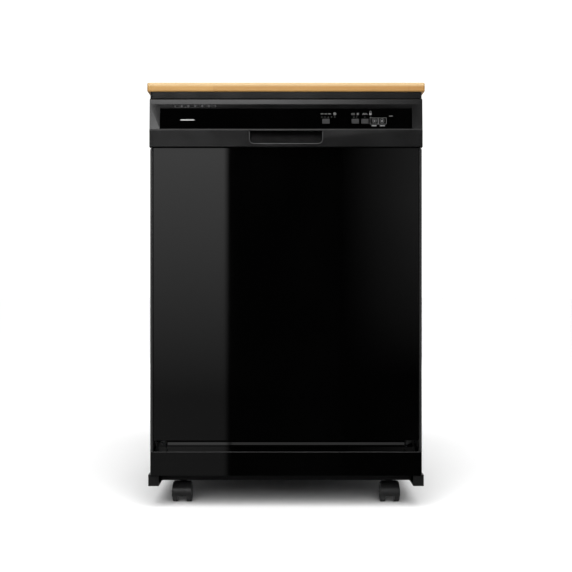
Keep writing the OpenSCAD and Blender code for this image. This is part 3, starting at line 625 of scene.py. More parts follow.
def fascia_marks():
    lo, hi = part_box("fascia")
    face = lo.y
    names = ("cycle_button", "dry_button", "option_button", "start_button", "cancel_button")
    keys = {name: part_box(name) for name in names}
    cycle, dry, option, start, cancel = (middle(keys[name]) for name in names)
    parts = []

    def bar(at, x, z, w, h, r=None):
        """Prints a bar at x, z millimetres from a key's middle."""
        parts.append(front_bar(at.x + x * MM, at.z + z * MM, w, h, face, r))

    def ring(at, x, z, r, line, sides=28):
        parts.append(front_ring(at.x + x * MM, at.z + z * MM, r, line, face, sides))

    def stroke(at, points, r, turn=None, steps=0, sides=6, proud=0.02):
        """Prints a line through x, z points in millimetres, with its turns rounded."""
        line = [(at.x + x * MM, face - proud * MM, at.z + z * MM) for x, z in points]
        parts.append(tube(bent(line, turn * MM, steps) if turn else line, r * MM, sides))

    # Wash programme marks: three short bars and a plate, over a row of lamps
    for i, width in enumerate((6.0, 5.0, 6.5)):
        bar(cycle, -8.5 + 8.2 * i, 16.2, width, 1.4)
    ring(cycle, 19.5, 16.4, 3.0, 0.9)
    ring(cycle, 19.5, 16.4, 1.4, 0.5, 16)
    lamp_z, lamp_r, lamp_line = 9.2, 0.75, 0.35
    for i in range(5):
        ring(cycle, -9 + 7.2 * i, lamp_z, lamp_r, lamp_line, 12)
    # Drying marks: three warm air lines and a sun
    for i in range(3):
        waves = [(-7.5 + 2.6 * i + 0.7 * s, 13.6 + 2.2 * k) for k, s in enumerate((1, -1, 1))]
        stroke(dry, waves, 0.42, 2, 3)
    sun_x, sun_z = 5.5, 16
    ring(dry, sun_x, sun_z, 1.6, 1.0, 16)
    for a in turns(8):
        ray = [(sun_x + k * math.cos(a), sun_z + k * math.sin(a)) for k in (2.3, 3.3)]
        stroke(dry, ray, 0.3, sides=5)
    # Option marks: two peaks, a padlock, a bar, and the lamps of the drying and option keys
    stroke(option, [(-5.2, 14), (-2.6, 18), (0, 14), (2.6, 18), (5.2, 14)], 0.6, 1, 2)
    lock = 12.2
    bar(option, lock, 16, 5.4, 4.2, 0.8)
    shackle = [(lock + x, z) for x, z in ((-1.7, 18), (-1.7, 22.2), (1.7, 22.2), (1.7, 18))]
    stroke(option, shackle, 0.45, 1.7, 5, proud=0)
    for at, x in ((dry, -3), (dry, 3), (option, 0), (option, lock)):
        ring(at, x, lamp_z, lamp_r, lamp_line, 12)
    bar(option, 57, 11.5, 8, 1.1)
    # Frame round the start and cancel keys, with a bar under each
    (first, split_a), (split_b, last) = keys["start_button"], keys["cancel_button"]
    split = (split_a.x + split_b.x) / 2
    foot, top = first.z - 0.5 * MM, last.z + 0.5 * MM
    for left, right in ((first.x - 1.7 * MM, split - 0.2 * MM), (split + 0.2 * MM, last.x + 1.7 * MM)):
        corners = [(left, face, foot), (right, face, foot), (right, face, top), (left, face, top)]
        parts.append(tube(bent(corners, 1.2 * MM, 3, closed=True), 0.28 * MM, 6, closed=True))
        parts.append(front_bar((left + right) / 2, foot - 3.4 * MM, 11, 2.2, face, 0.5))
    piece("fascia_marks", parts, "door", "button_grey", finish=PRINT_INK)

    # The maker's place stays a plain lozenge
    badge = front_bar(lo.x + 60 * MM, middle((lo, hi)).z - 3 * MM, 31, 2.6, face)
    piece("plain_badge", [badge], "door", "button_grey", finish=BADGE)

    # Signs on the two framed keys travel with the keys
    triangle = [(start.x + x * MM, start.z + z * MM) for x, z in ((-1.3, -2), (2.2, 0), (-1.3, 2))]
    y = first.y
    signs = {"start": (start, slab(triangle, y, y - PRINT * MM, facing_y, r=0)),
             "cancel": (cancel, front_bar(cancel.x, cancel.z, 3, 3, split_b.y, 0.3))}
    for name, (at, sign) in signs.items():
        ring_back = keys[name + "_button"][0].y
        piece(name + "_button_sign", [front_ring(at.x, at.z, 4.6, 0.4, ring_back), sign], "key_" + name,
              "button_grey", finish=PRINT_INK)


def pocket_rim():
    """The rolled rim along the sides and foot of the hand pocket, in a lighter black that paints a highlight along
    it.
    """
    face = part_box("console")[0].y + 0.3 * MM
    half, foot, top = 80.6 * MM, 804.4 * MM, 831 * MM
    corners = [(-half, face, top), (-half, face, foot), (half, face, foot), (half, face, top)]
    piece("hand_pocket_rim", [tube(bent(corners, 13 * MM, 8), 1.0 * MM, 8)], "door", "black_gloss",
          finish=RIM_HIGHLIGHT)


def shelf_edge():
    """The rolled front edge of the shelf over the access panel, in the lighter rim black that paints a highlight
    along it.
    """
    lo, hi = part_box("access_panel")
    y, z, half = lo.y + 0.5 * MM, 125.8 * MM, hi.x - 4 * MM
    piece("access_panel_edge", [tube([(-half, y, z), (half, y, z)], 0.55 * MM, 10)], "cabinet", "black_enamel",
          finish=RIM_HIGHLIGHT)


# ---- racks


WIRE_R = 1.75 * MM


def capped_wire(points, r, sides=7):
    """A wire with domed ends."""
    points = [Vector(p) for p in points]
    start, end = (points[1] - points[0]).normalized(), (points[-2] - points[-1]).normalized()
    bm = tube([points[0] + start * r] + points[1:-1] + [points[-1] + end * r], r, sides)
    for tip, inward in ((points[0], start), (points[-1], end)):
        dome = lathe([(1, 0), (0.72, 0.7), (0.3, 0.97), (0, 1)], tip + inward * r, -inward, sides, unit=r)
        bm = joined([bm, dome])
    return bm


def wire_basket(lo, hi):
    """Bent wires running both ways under a heavier rim, with two hoops round the sides."""
    r, rim_r, rim_corner = WIRE_R, 2.4 * MM, 26 * MM
    end_gap, turn = 34 * MM, 11 * MM
    parts = []
    rim_z = hi.z - rim_r
    hoops = [(lo.z + share * (hi.z - lo.z), r, 3.6 * r) for share in (0.62, 0.3)]
    for z, thick, edge in [(rim_z, rim_r, rim_r)] + hoops:
        loop = round_rect((lo.x + edge, lo.y + edge), (hi.x - edge, hi.y - edge), rim_corner)
        parts.append(tube([(x, y, z) for x, y in loop], thick, 8, closed=True))
    inset = r + 0.4 * MM
    # Wires that run along Y lie over the ones that run along X
    for across, along, count, floor in ((0, 1, 15, lo.z + 2.8 * r), (1, 0, 13, lo.z + r)):
        a, b = lo[along] + inset, hi[along] - inset
        for i in range(count + 1):
            at = lo[across] + end_gap + (hi[across] - lo[across] - 2 * end_gap) * i / count
            ends = ((a, rim_z), (a, floor), (b, floor), (b, rim_z))
            corners = [(at, c, z) if along else (c, at, z) for c, z in ends]
            parts.append(tube(bent(corners, turn), r, 7))
    return parts


def tine_row(lo, hi, count, lean):
    """Upright wires on a rail along X, leaning towards +Y."""
    r = WIRE_R
    y, z = (lo.y + hi.y) / 2, lo.z + r
    parts = [capped_wire([(lo.x, y, z), (hi.x, y, z)], r)]
    for i in range(count):
        x = lo.x + 3 * MM + (hi.x - lo.x - 6 * MM) * i / (count - 1)
        line = [(x, y, z), (x, y + lean * 0.2, z + (hi.z - z) * 0.5), (x, y + lean, hi.z)]
        parts.append(capped_wire(line, r, 6))
    return parts


def lower_rack():
    parts = wire_basket(*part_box("lower_rack"))
    # The rows of tines are the node's solids that are neither flat wires nor the basket itself
    for a, b in solids("lower_rack"):
        if 30 * MM < b.z - a.z < 90 * MM:
            parts += tine_row(a, b, 13, 6 * MM)
    piece("lower_rack_wires", parts, "rack_lower", "rack_coat", ["lower_rack"])


def upper_rack():
    lo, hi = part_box("upper_rack")
    parts = wire_basket(lo, hi)
    # Rows of low tines for cups, and a sloping shelf at each side
    half, floor, tip = 150 * MM, lo.z + 6 * MM, lo.z + 48 * MM
    for y in (-150 * MM, -40 * MM, 70 * MM):
        parts += tine_row(Vector((-half, y, floor)), Vector((half, y + 3 * MM, tip)), 9, 5 * MM)
    shelf_gap, bars = 45 * MM, 9
    for side in (-1, 1):
        for i in range(bars):
            y = lo.y + shelf_gap + (hi.y - lo.y - 2 * shelf_gap) * i / (bars - 1)
            inner, outer = side * (hi.x - 95 * MM), side * (hi.x - 8 * MM)
            parts.append(capped_wire([(outer, y, hi.z - 34 * MM), (inner, y, hi.z - 42 * MM)], WIRE_R, 6))
        for k in (0.0, 0.5, 1.0):
            x, z = side * (hi.x - (8 + 87 * k) * MM), hi.z - (34 + 8 * k) * MM - 2.6 * MM
            parts.append(capped_wire([(x, lo.y + 40 * MM, z), (x, hi.y - 40 * MM, z)], WIRE_R, 6))
    piece("upper_rack_wires", parts, "rack_upper", "rack_coat", ["upper_rack"])


def rolling_wheel(at, outer, w, r, sign):
    """A small moulded wheel, w by r millimetres, with a rounded rim, a dished face and a hub."""
    profile = [(0, 0), (0.9, 0), (1, 0.12), (1, 0.88), (0.9, 1), (0.74, 1), (0.7, 0.72), (0.34, 0.72),
               (0.3, 1), (0.12, 1), (0, 0.9)]
    return lathe([(a * r, b * w) for a, b in profile], (sign * (outer - w * MM), at.y, at.z), (sign, 0, 0), 32)


def wheel_places(node):
    """For each wheel of a rack: its side, its inner and outer distance from the middle, and its corners."""
    for lo, hi in solids(node):
        inner, outer = sorted((abs(lo.x), abs(hi.x)))
        yield 1 if lo.x > 0 else -1, inner, outer, lo, hi


def rack_rollers():
    rollers, plates = [], []
    wheel, plate = 7.5, 2.8
    for sign, inner, outer, lo, hi in wheel_places("upper_rack_rollers"):
        face = inner + plate * MM
        at = middle((lo, hi))
        rollers.append(rolling_wheel(at, outer, wheel, 12.7, sign))
        outline = oblong(at.y, at.z, 28 * MM, 28 * MM, 6 * MM)
        plates.append(slab(outline, *sorted((sign * inner, sign * face)), facing_x))
        profile = [(0, 0), (5.5, 0), (4, 8), (3, (outer - inner) / MM - 8)]
        plates.append(lathe(profile, (sign * face, at.y, at.z), (sign, 0, 0), 20))
    piece("upper_rack_roller_wheels", rollers, "rack_upper", "fitting_grey", ["upper_rack_rollers"])
    piece("upper_rack_roller_plates", plates, "rack_upper", "fitting_grey")

    wheels, clips = [], []
    wheel, plate, r = 8, 2.2, 16.5
    for sign, inner, outer, lo, hi in wheel_places("lower_rack_wheels"):
        at = Vector((sign * inner, (lo.y + hi.y) / 2, lo.z + r * MM))
        wheels.append(rolling_wheel(at, outer, wheel, r, sign))
        clips.append(lathe([(0, 0), (5, 0), (5, (outer - inner) / MM - wheel)], at, (sign, 0, 0), 20))
        outline = round_rect((at.y - 7 * MM, at.z - 7 * MM), (at.y + 7 * MM, hi.z), 3 * MM)
        faces = sorted((sign * inner, sign * (inner + plate * MM)))
        clips.append(slab(outline, *faces, facing_x, 0.5 * MM))
    piece("lower_rack_wheel_discs", wheels, "rack_lower", "fitting_grey", ["lower_rack_wheels"])
    piece("lower_rack_wheel_clips", clips, "rack_lower", "fitting_grey")


def cutlery_basket():
    """Four open cells of slats between moulded rims, with solid dividers and a carrying handle."""
    lo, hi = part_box("cutlery_basket")
    lo = lo + Vector((0, 0, 1.2 * MM))
    handle_rise = 44 * MM
    top = hi.z - handle_rise
    t, slat, cells, slats = 1.6 * MM, 3.2 * MM, 4, (8, 27)
    sunk = 0.15 * MM
    parts = []

    def rail(along, a, b, r=0.3 * MM, segments=1):
        """A block between corners (along, across, z), where along is the axis that comes first."""
        a, b = ((p if along == 0 else (p[1], p[0], p[2])) for p in (a, b))
        parts.append(block(a, b, r, segments))

    for z, h in ((lo.z, 9 * MM), (lo.z + 0.5 * (top - lo.z), 4 * MM), (top - 6 * MM, 6 * MM)):
        for along, across in ((0, 1), (1, 0)):
            for at in (lo[across], hi[across] - t):
                rail(along, (lo[along], at, z), (hi[along], at + t, z + h), 0.5 * MM, 2)
    for along, across in ((1, 0), (0, 1)):
        for i in range(1, slats[along]):
            at = lo[along] + (hi[along] - lo[along]) * i / slats[along] - slat / 2
            for wall in (lo[across] + sunk, hi[across] - t + sunk):
                rail(along, (at, wall, lo.z + 4 * MM), (at + slat, wall + t - 2 * sunk, top - 3 * MM))
            rail(along, (at, lo[across] + t, lo.z), (at + slat, hi[across] - t, lo.z + t))
    for i in range(1, cells):
        y = lo.y + (hi.y - lo.y) * i / cells - t / 2
        parts.append(block((lo.x + t, y, lo.z), (hi.x - t, y + t, top - 1 * MM), 0.5 * MM))
    at, reach, grip_r = middle((lo, hi)), 66 * MM, 3.1 * MM
    foot, grip = top - 12 * MM, hi.z - 3.2 * MM
    corners = [(at.x, at.y + y, z) for y, z in ((-reach, foot), (-reach, grip), (reach, grip), (reach, foot))]
    parts.append(tube(bent(corners, 22 * MM, 8), grip_r, 10))
    piece("cutlery_basket_slats", parts, "rack_lower", "fitting_grey", ["cutlery_basket"])


# ---- spray arms


def spray_arm(node, body, hub_up):
    """A hollow moulded blade with a slight S bend, a domed hub and raised jets. hub_up is 1 or -1."""
    lo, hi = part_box(node)
    at = middle((lo, hi))
    reach = (hi.x - lo.x) / 2
    half_h = (hi.z - lo.z) / 2 - 2 * MM
    thinnest, swing = 0.05 * MM, 3 * MM
    stations, sides = 48, 20
    loops = []
    for i in range(stations + 1):
        t = -math.cos(math.pi * i / stations)
        u = abs(t)
        width = max((15 - 5.5 * u) * MM * math.sqrt(max(0.0, 1 - u ** 14)), thinnest)
        height = max(half_h * (1 - 0.22 * u) * math.sqrt(max(0.0, 1 - u ** 10)), thinnest)
        y = at.y - swing * math.tanh(5 * t)
        loops.append([(at.x + t * reach, y + width * math.copysign(abs(c) ** 0.7, c),
                       at.z + height * math.copysign(abs(s) ** 0.8, s))
                      for c, s in ((math.cos(a), math.sin(a)) for a in turns(sides))])
    span = (hi.z - lo.z) / MM
    profile = [(0, 0), (17, 0), (20, 1), (21, 3), (21, span - 5), (19, span - 2), (13, span - 0.4), (0, span)]
    hub = lathe(profile, (at.x, at.y, lo.z if hub_up > 0 else hi.z), (0, 0, hub_up))
    jets, holes = [], []
    for side in (-1, 1):
        for share in (0.22, 0.35, 0.47, 0.58, 0.69, 0.79, 0.88):
            top = at.z + half_h * (1 - 0.22 * share) - 0.3 * MM
            place = (at.x + side * share * reach, at.y - side * swing, top)
            rise = (hi.z - top) / MM
            profile = [(1.9, 0), (4.6, 0), (3.4, rise - 0.2), (2.9, rise), (1.9, rise)]
            jets.append(lathe(profile, place, (0, 0, 1), 20, closed=True))
            # Each jet's hole is filled with dark plastic to a millimetre below its lip: painted shade for the
            # depth of the hole
            holes.append(lathe([(0, 0), (2, 0), (2, rise - 1), (0, rise - 1)], place, (0, 0, 1), 12))
    piece(node + "_blade", [rings(loops), hub] + jets, body, "fitting_grey", [node])
    piece(node + "_jet_hole_shades", holes, body, "pump_dark")


# ---- casters


def caster_wheels(corner, axle, r, half):
    """Two wheels, r by half millimetres, on an axle: rubber treads with a groove, over ribbed hubs."""
    gap = 10
    w = half - gap
    tread, hubs = [], []
    for s in (-1, 1):
        at, out = (axle.x + s * gap * MM, axle.y, axle.z), (s, 0, 0)
        tread.append(lathe([(r - 2.6, 0.2), (r - 1.2, 0), (r - 0.25, 0.9), (r, 2.4), (r, w * 0.42),
                            (r - 0.5, w * 0.46), (r - 0.5, w * 0.54), (r, w * 0.58), (r, w - 2.4),
                            (r - 0.25, w - 0.9), (r - 1.2, w), (r - 2.6, w - 0.2)], at, out, 64, closed=True))
        hubs.append(lathe([(3.3, 0), (r - 2.5, 0.3), (r - 2.5, w - 0.3), (r - 3.6, w), (r - 5, w - 0.4),
                           (r - 6, w - 2.2), (8.2, w - 2.6), (7.4, w - 0.6), (6.4, w), (3.3, w)], at, out, 48,
                          closed=True))
        hubs.append(lathe([(0, 0), (3.2, 0), (3.2, w - 0.9), (2.2, w - 0.2), (0, w)], at, out, 24))
        ribs = 6
        for k in range(ribs):
            x0, x1 = sorted(at[0] + s * (w - inset) * MM for inset in (3.2, 0.9))
            rib = block((x0, -0.9 * MM, 7 * MM), (x1, 0.9 * MM, (r - 4.6) * MM), 0.4 * MM, 1)
            turn = Matrix.Rotation(math.tau * (k + 0.5) / ribs, 4, "X")
            hubs.append(moved(rib, Matrix.Translation((0, axle.y, axle.z)) @ turn))
    hubs.append(lathe([(0, -gap), (3, -gap), (3, gap), (0, gap)], axle, (1, 0, 0), 24))
    piece("caster_treads_" + corner, tread, "wheels_" + corner, "caster_tread", ["caster_wheels_" + corner])
    piece("caster_hubs_" + corner, hubs, "wheels_" + corner, "caster_black")


def caster(corner):
    """Twin wheels under a hood that is narrower at its crown, turning on a stem."""
    lo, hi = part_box("caster_wheels_" + corner)
    yoke_lo, yoke_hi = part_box("caster_yoke_" + corner)
    axle = middle((lo, hi))
    r = (hi.z - lo.z) / 2
    caster_wheels(corner, axle, r / MM, (hi.x - lo.x) / 2 / MM)

    # Hood: an arc of rings across the wheels, from low at the front over the top to low at the back
    hood_r, skirt_z = r + 3 * MM, 15.5 * MM
    start = math.asin((skirt_z - axle.z) / hood_r)

    def arc(steps):
        return [start + (math.pi - 2 * start) * i / steps for i in range(steps + 1)]

    # (share of the half width, millimetres from the crown), from one rim over to the other
    section = [(-1, -1.9), (-1, -0.7), (-0.975, -0.25), (-0.93, -0.04), (-0.85, 0), (0, 0), (0.85, 0),
               (0.93, -0.04), (0.975, -0.25), (1, -0.7), (1, -1.9), (0, -1.9)]
    hood_half = (yoke_hi.x - yoke_lo.x) / 2
    loops = []
    for a in arc(28):
        pinch = 1 - 0.13 * max(0.0, math.sin(a)) ** 3
        loops.append([(axle.x + u * hood_half * pinch, axle.y - math.cos(a) * (hood_r + v * MM),
                       axle.z + math.sin(a) * (hood_r + v * MM)) for u, v in section])
    core_r, core_half = hood_r - 0.6 * MM, 9.4 * MM
    core = slab([(axle.y - math.cos(a) * core_r, axle.z + math.sin(a) * core_r) for a in arc(24)],
                axle.x - core_half, axle.x + core_half, facing_x, 0.5 * MM)
    core = carved(core, lathe([(0, -20), (3.3, -20), (3.3, 20), (0, 20)], axle, (1, 0, 0), 24))
    stem_y = next(j["pos_m"][1] for j in frame["joints"] if j["name"] == "swivel_" + corner)
    foot, plate, tip = (axle.x, stem_y, 0), 54.5, yoke_hi.z / MM
    neck = lathe([(0, 38), (10.5, 38), (9, 42), (9, 48), (11, 50), (17, 50.6), (17.6, 51.4), (17.6, plate - 1),
                  (16.8, plate), (0, plate)], foot, (0, 0, 1))
    piece("caster_hood_" + corner, [rings(loops), core, neck], "yoke_" + corner, "caster_black",
          ["caster_yoke_" + corner])
    profile = [(0, plate - 1), (5.45, plate - 1), (5.45, tip - 1.2), (4.2, tip), (0, tip)]
    stem = lathe(profile, foot, (0, 0, 1), 32)
    piece("caster_stem_" + corner, [stem], "yoke_" + corner, "zinc_steel")


# ---- door


def door_liner():
    """A pressed liner: a flat rim for the gasket, and a raised middle with a hole for the dispenser."""
    lo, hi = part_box("door_liner")
    well_lo, well_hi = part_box("dispenser_body")
    rim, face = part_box("tub_gasket")[0].y - 0.4 * MM, hi.y
    skin = 1.5
    whole = ((lo.x, lo.z), (hi.x, hi.z))
    raised = ((-240 * MM, 290 * MM), (240 * MM, 860 * MM))
    hole = ((-79 * MM, well_lo.z + 8 * MM), (79 * MM, well_hi.z - 8 * MM))
    # Each loop: its outline, then millimetres inwards and of corner radius, then where it is in Y
    loops = [
        (whole, 0, 10, lo.y, 0), (whole, 0, 10, rim, -3), (whole, 0.9, 10, rim, -0.9), (whole, 3, 9, rim, 0),
        (raised, -0.6, 26, rim, 0), (raised, 0.6, 26, rim, 0.8), (raised, 2, 25, rim, 3),
        (raised, 3, 24, face, -3.4), (raised, 4.4, 23, face, -1), (raised, 8, 21, face, 0),
        (hole, 0, 4, face, 0), (hole, 0, 4, face, -6),
        (hole, -skin, 5, face, -6), (hole, -skin, 5, face, -skin), (raised, 9, 20, face, -skin),
        (raised, 5, 23, rim, -skin), (whole, skin + 2, 9, rim, -skin), (whole, skin, 9, rim, -skin - 2),
        (whole, skin, 9, lo.y, 0),
    ]
    shell = rings([[(x, y + depth * MM, z) for x, z in
                    round_rect([c + inset * MM for c in a], [c - inset * MM for c in b], r * MM, 7)]
                   for (a, b), inset, r, y, depth in loops], closed=True)
    half, foot = 14 * MM, 884.5 * MM
    latch_slot = block((-half, rim - 18 * MM, foot), (half, rim + 5 * MM, hi.z + 5 * MM), 1 * MM)
    parts = [carved(shell, latch_slot)]
    # Pressed ribs above and below the dispenser
    back, front = face - 2 * MM, face + 1.6 * MM
    for z, half in ((330, 190), (352, 190), (374, 190), (700, 205), (760, 205), (820, 205)):
        parts.append(block((-half * MM, back, (z - 4) * MM), (half * MM, front, (z + 4) * MM), 1.5 * MM, 3))
    piece("door_liner_shell", parts, "door", "liner_grey", ["door_liner"], sharp=40)


def screws():
    """Pan heads with a crossed recess, on the node's own places."""
    heads = []
    for lo, hi in solids("cabinet_screws"):
        at = middle((lo, hi))
        r, rise = (hi.x - lo.x) / 2, (hi.y - lo.y) / MM
        profile = [(0, 0), (1, 0), (1, 0.3), (0.86, 0.72), (0.55, 0.95), (0, 1)]
        head = lathe([(a * r / MM, b * rise) for a, b in profile], (at.x, lo.y, at.z), (0, 1, 0), 28)
        # The recess is two crossed bars, one a hair shorter than the other
        arm, w = r * 0.52, r * 0.14
        floor = hi.y - rise * MM * 0.55
        cross = joined([block((at.x - a, floor, at.z - b), (at.x + a, hi.y + 1 * MM, at.z + b), 0)
                        for a, b in ((arm, w), (w, arm * 0.999))])
        heads.append(carved(head, cross))
    piece("cabinet_screw_heads", heads, "cabinet", "dark_steel", ["cabinet_screws"])


def door_springs():
    """Close-wound springs between the base and the hinge arms. Each link runs straight across the hinge."""
    x, z, front, back = 294 * MM, 95 * MM, -199 * MM, -91 * MM
    hook, eye = Vector((293 * MM, -288 * MM, 122.9 * MM)), Vector((x, front, z))
    winds, steps, coil_r, wire_r = 44, 10, 3.2 * MM, 0.8 * MM
    coils, links = [], []
    for lo, hi in solids("door_springs"):
        side = 1 if lo.x > 0 else -1
        line = []
        for i in range(winds * steps + 1):
            a = math.tau * i / steps
            y = front + (back - front) * i / (winds * steps)
            line.append((side * x + coil_r * math.cos(a), y, z + coil_r * math.sin(a)))
        coils.append(tube(line, wire_r, 6))
        tail = [(side * x + coil_r, back, z), (side * x, back + 3 * MM, z), (side * x, hi.y - 1.5 * MM, z)]
        coils.append(tube(bent(tail, 2 * MM), wire_r, 8))
        outline = round_rect((side * x - 4 * MM, 76.2 * MM), (side * x + 4 * MM, z + 6 * MM), 2.5 * MM)
        coils.append(slab(outline, hi.y - 3 * MM, hi.y, facing_y, 0.5 * MM))
    piece("door_spring_coils", coils, "cabinet", "zinc_steel", ["door_springs"])
    for side in (1, -1):
        a, b = (Vector((side * p.x, p.y, p.z)) for p in (hook, eye))
        links.append(tube([a + (b - a) * i / 12 for i in range(13)], 0.9 * MM, 8))
    obj = smooth_object("door_spring_links", links, FINISHES["zinc_steel"])
    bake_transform(obj)


# ---- back


def rear_details():
    """Pressed beads that stiffen the back sheet, and a plain rating plate with a rivet at each corner."""
    lo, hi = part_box("rear_panel")
    bin_lo, bin_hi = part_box("storage_bin")
    skin = hi.y - 0.3 * MM
    bead_w, foot, top = 10 * MM, lo.z + 70 * MM, hi.z - 60 * MM
    places = [(x * MM, (foot + top) / 2, bead_w, top - foot) for x in (-178, -232, 178, 232)]
    places += [(0, bin_hi.z + rise * MM, 256 * MM, bead_w) for rise in (50, 84)]
    beads = [slab(oblong(*place, 4.9 * MM), skin, skin + 1.6 * MM, facing_y, 1.1 * MM, 3) for place in places]
    piece("rear_panel_beads", beads, "cabinet", SLOT_OF["rear_panel"])
    x, z, w, h = -95 * MM, bin_lo.z - 62 * MM, 92 * MM, 46 * MM
    plate = [slab(oblong(x, z, w, h, 3 * MM), skin, skin + 0.8 * MM, facing_y, 0.2 * MM)]
    for a in (-1, 1):
        for b in (-1, 1):
            at = (x + a * (w / 2 - 4.5 * MM), skin + 0.6 * MM, z + b * (h / 2 - 4.5 * MM))
            plate.append(lathe([(0, 0), (1.9, 0), (1.6, 0.7), (0, 1.1)], at, (0, 1, 0), 20))
    piece("rating_plate", plate, "cabinet", "zinc_steel")
    lines = []
    # Seen from behind, the lines start at the plate's left
    left = x + w / 2 - 9 * MM
    for i, share in enumerate((0.62, 0.4, 0.7, 0.5)):
        foot = z + (11 - 7 * i) * MM
        outline = round_rect((left - share * (w - 18 * MM), foot), (left, foot + 1.6 * MM), 0.7 * MM, 3)
        lines.append(slab(outline, skin + 0.75 * MM, skin + 0.87 * MM, facing_y, r=0))
    piece("rating_plate_lines", lines, "cabinet", "dark_plastic")


# ---- tub fittings


def tub_ribs():
    """Moulded guides on the tub's side and back walls."""
    side, back = 269 * MM, 222 * MM
    parts = []
    for z in (330, 400, 470, 680, 760):
        parts += both_sides(lambda z=z: block((side - 1.8 * MM, -235 * MM, (z - 5) * MM),
                                              (side + 1 * MM, 190 * MM, (z + 5) * MM), 1.6 * MM, 3))
    for x in (-200, -140, -80, 80, 140, 200):
        parts.append(block(((x - 7) * MM, back - 2 * MM, 240 * MM), ((x + 7) * MM, back + 1 * MM, 840 * MM),
                           1.8 * MM, 3))
    piece("tub_ribs", parts, "cabinet", "tub_grey")


def strainer():
    """The flat strainer over the sump: fine spokes and hoops inside a moulded rim."""
    at = middle(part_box("sump"))
    at.z = 171 * MM

    def spot(a, r):
        return (at.x + r * MM * math.cos(a), at.y + r * MM * math.sin(a), at.z)

    parts = [tube([spot(a, r) for a in turns(72)], 0.7 * MM, 6, closed=True) for r in range(20, 75, 6)]
    parts += [tube([spot(a, 15), spot(a, 73)], 0.5 * MM, 5) for a in turns(48)]
    parts.append(lathe([(72, -1.4), (74.6, -1.4), (74.6, 2), (72, 2)], at, (0, 0, 1), 72, closed=True))
    piece("strainer_mesh", parts, "cabinet", "zinc_steel")


for name in frame["nodes"]:
    dress(name)
fascia_marks()
pocket_rim()
shelf_edge()
lower_rack()
upper_rack()
rack_rollers()
cutlery_basket()
spray_arm("lower_spray_arm", "arm_lower", 1)
spray_arm("upper_spray_arm", "arm_upper", -1)
for corner in CORNERS:
    caster(corner)
door_liner()
screws()
door_springs()
rear_details()
tub_ribs()
strainer()


# ---- studio


def area_light(name, place, aim, size, power):
    data = bpy.data.lights.new(name, "AREA")
    data.shape = "RECTANGLE"
    data.size, data.size_y = size
    data.energy = power
    lamp = new_object(name, data)
    lamp.location = place
    lamp.rotation_euler = (Vector(aim) - Vector(place)).to_track_quat("-Z", "Y").to_euler()
    lamp.visible_camera = False
    return lamp


def reflector(name, corners, glow, x_fade, z_fade, away=3.17):
    """A card that only polished faces see, away metres in front of the machine's front.

    Its glow runs from the one value to the other along z_fade, and from nothing to full along x_fade.
    """
    (x0, z0), (x1, z1) = corners
    y = cad_box[0].y - away
    bm = bmesh.new()
    bm.faces.new([bm.verts.new((x, y, z)) for x, z in ((x0, z0), (x0, z1), (x1, z1), (x1, z0))])
    made = Finish(name, gray(0), 1.0)
    x, _, z = made.axes(made.place)
    made.set("Emission Color", gray(1.0))
    across, up = made.ramp(x, 0.0, 1.0, *x_fade), made.ramp(z, *glow, *z_fade)
    made.set("Emission Strength", made.math("MULTIPLY", across, up))
    card = mesh_object(name, bm, made.mat)
    card.visible_camera = False
    card.visible_diffuse = False
    card.visible_shadow = False


def room():
    """White behind the machine for the camera. For all else a dim room, darkest where the door looks."""
    world = bpy.data.worlds.new("studio")
    bpy.context.scene.world = world
    world.use_nodes = True
    world.node_tree.nodes.clear()
    made = Nodes(world.node_tree)
    y = made.axes(made.node("ShaderNodeTexCoord").outputs["Generated"])[1]
    dim = made.fed("ShaderNodeBackground", {"Strength": made.ramp(y, 0.004, 0.22, -0.3, 0.5)}).outputs[0]
    white = made.fed("ShaderNodeBackground", {"Strength": 1.5}).outputs[0]
    seen = made.node("ShaderNodeLightPath").outputs["Is Camera Ray"]
    shown = made.fed("ShaderNodeMixShader", {0: seen, 1: dim, 2: white}).outputs[0]
    made.fed("ShaderNodeOutputWorld", {0: shown})


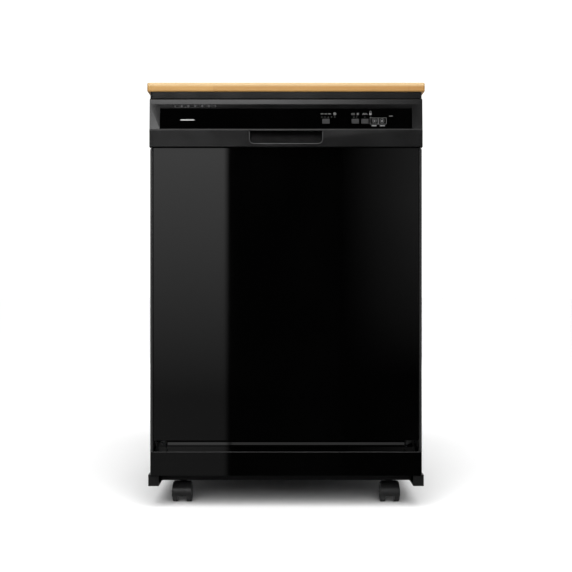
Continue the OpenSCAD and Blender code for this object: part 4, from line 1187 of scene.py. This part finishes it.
def studio():
    bpy.context.scene.view_settings.view_transform = "Standard"
    room()
    disc = bmesh.new()
    bmesh.ops.create_circle(disc, cap_ends=True, segments=96, radius=40.0)
    floor = mesh_object("floor", disc, Finish("studio_floor", gray(0.86), 0.9).mat)
    floor.visible_glossy = False

    sky = bpy.data.lights.new("sky_panel", "SUN")
    sky.energy = 5.2
    sky.angle = math.radians(64)
    lamp = new_object("sky_panel", sky)
    lamp.rotation_euler = (math.radians(44), 0, 0)
    lamp.visible_glossy = False
    front, heart = cad_box[0].y, (0, 0, 0.5)
    for name, x in (("left_wall", -3.2), ("right_wall", 3.2)):
        area_light(name, (x, 0.6, 1.4), heart, (2.2, 2.2), 10)
    area_light("overhead", (0, front - 0.7, 2.5), (0, front, 0.9), (2.6, 1.3), 20).visible_diffuse = False
    area_light("back_wall", (0.4, 3.6, 1.7), heart, (3.0, 1.8), 40)
    # The far card lights the access panel's riser. The right card is about as far off, so as not to hide it
    far_off, side_off = 14.0, 2.6
    reflector("left_card", ((-0.9, -0.75), (-0.303, 1.27)), (0.2, 1.1), (-0.305, -0.335), (-0.1, 1.2))
    reflector("right_card", ((0.9, -2.79), (2.7, 2.92)), (0.0, 0.26), (0.9, 2.1), (-0.98, 1.87), far_off - 0.1)
    reflector("upper_card", ((-1.6, 1.86), (0.9, 2.7)), (4.0, 7.0), (0.65, 0.0), (1.86, 2.1))
    reflector("far_card", ((-2.6, 3.65), (2.6, 6.5)), (0.62, 0.5), (-3.0, -2.8), (4.2, 6.0), far_off)
    for name, side in (("left_side_card", -1), ("right_side_card", 1)):
        near, far = side * 1.4, side * 3.8
        corners = ((min(near, far), -3.4), (max(near, far), 2.5))
        reflector(name, corners, (0.0, 0.55), (near, side * 2.8), (-3.0, 1.8), side_off)


def camera():
    """Level, at the height of the middle of the door, a little over two metres in front of it."""
    distance, height = 2.193, 0.4915
    data = bpy.data.cameras.new("camera")
    data.sensor_width = 36.0
    data.lens = 62.8
    made = new_object("camera", data)
    made.location = (0.0, cad_box[0].y - distance, height)
    made.rotation_euler = (math.radians(90), 0, 0)
    bpy.context.scene.camera = made


studio()
camera()
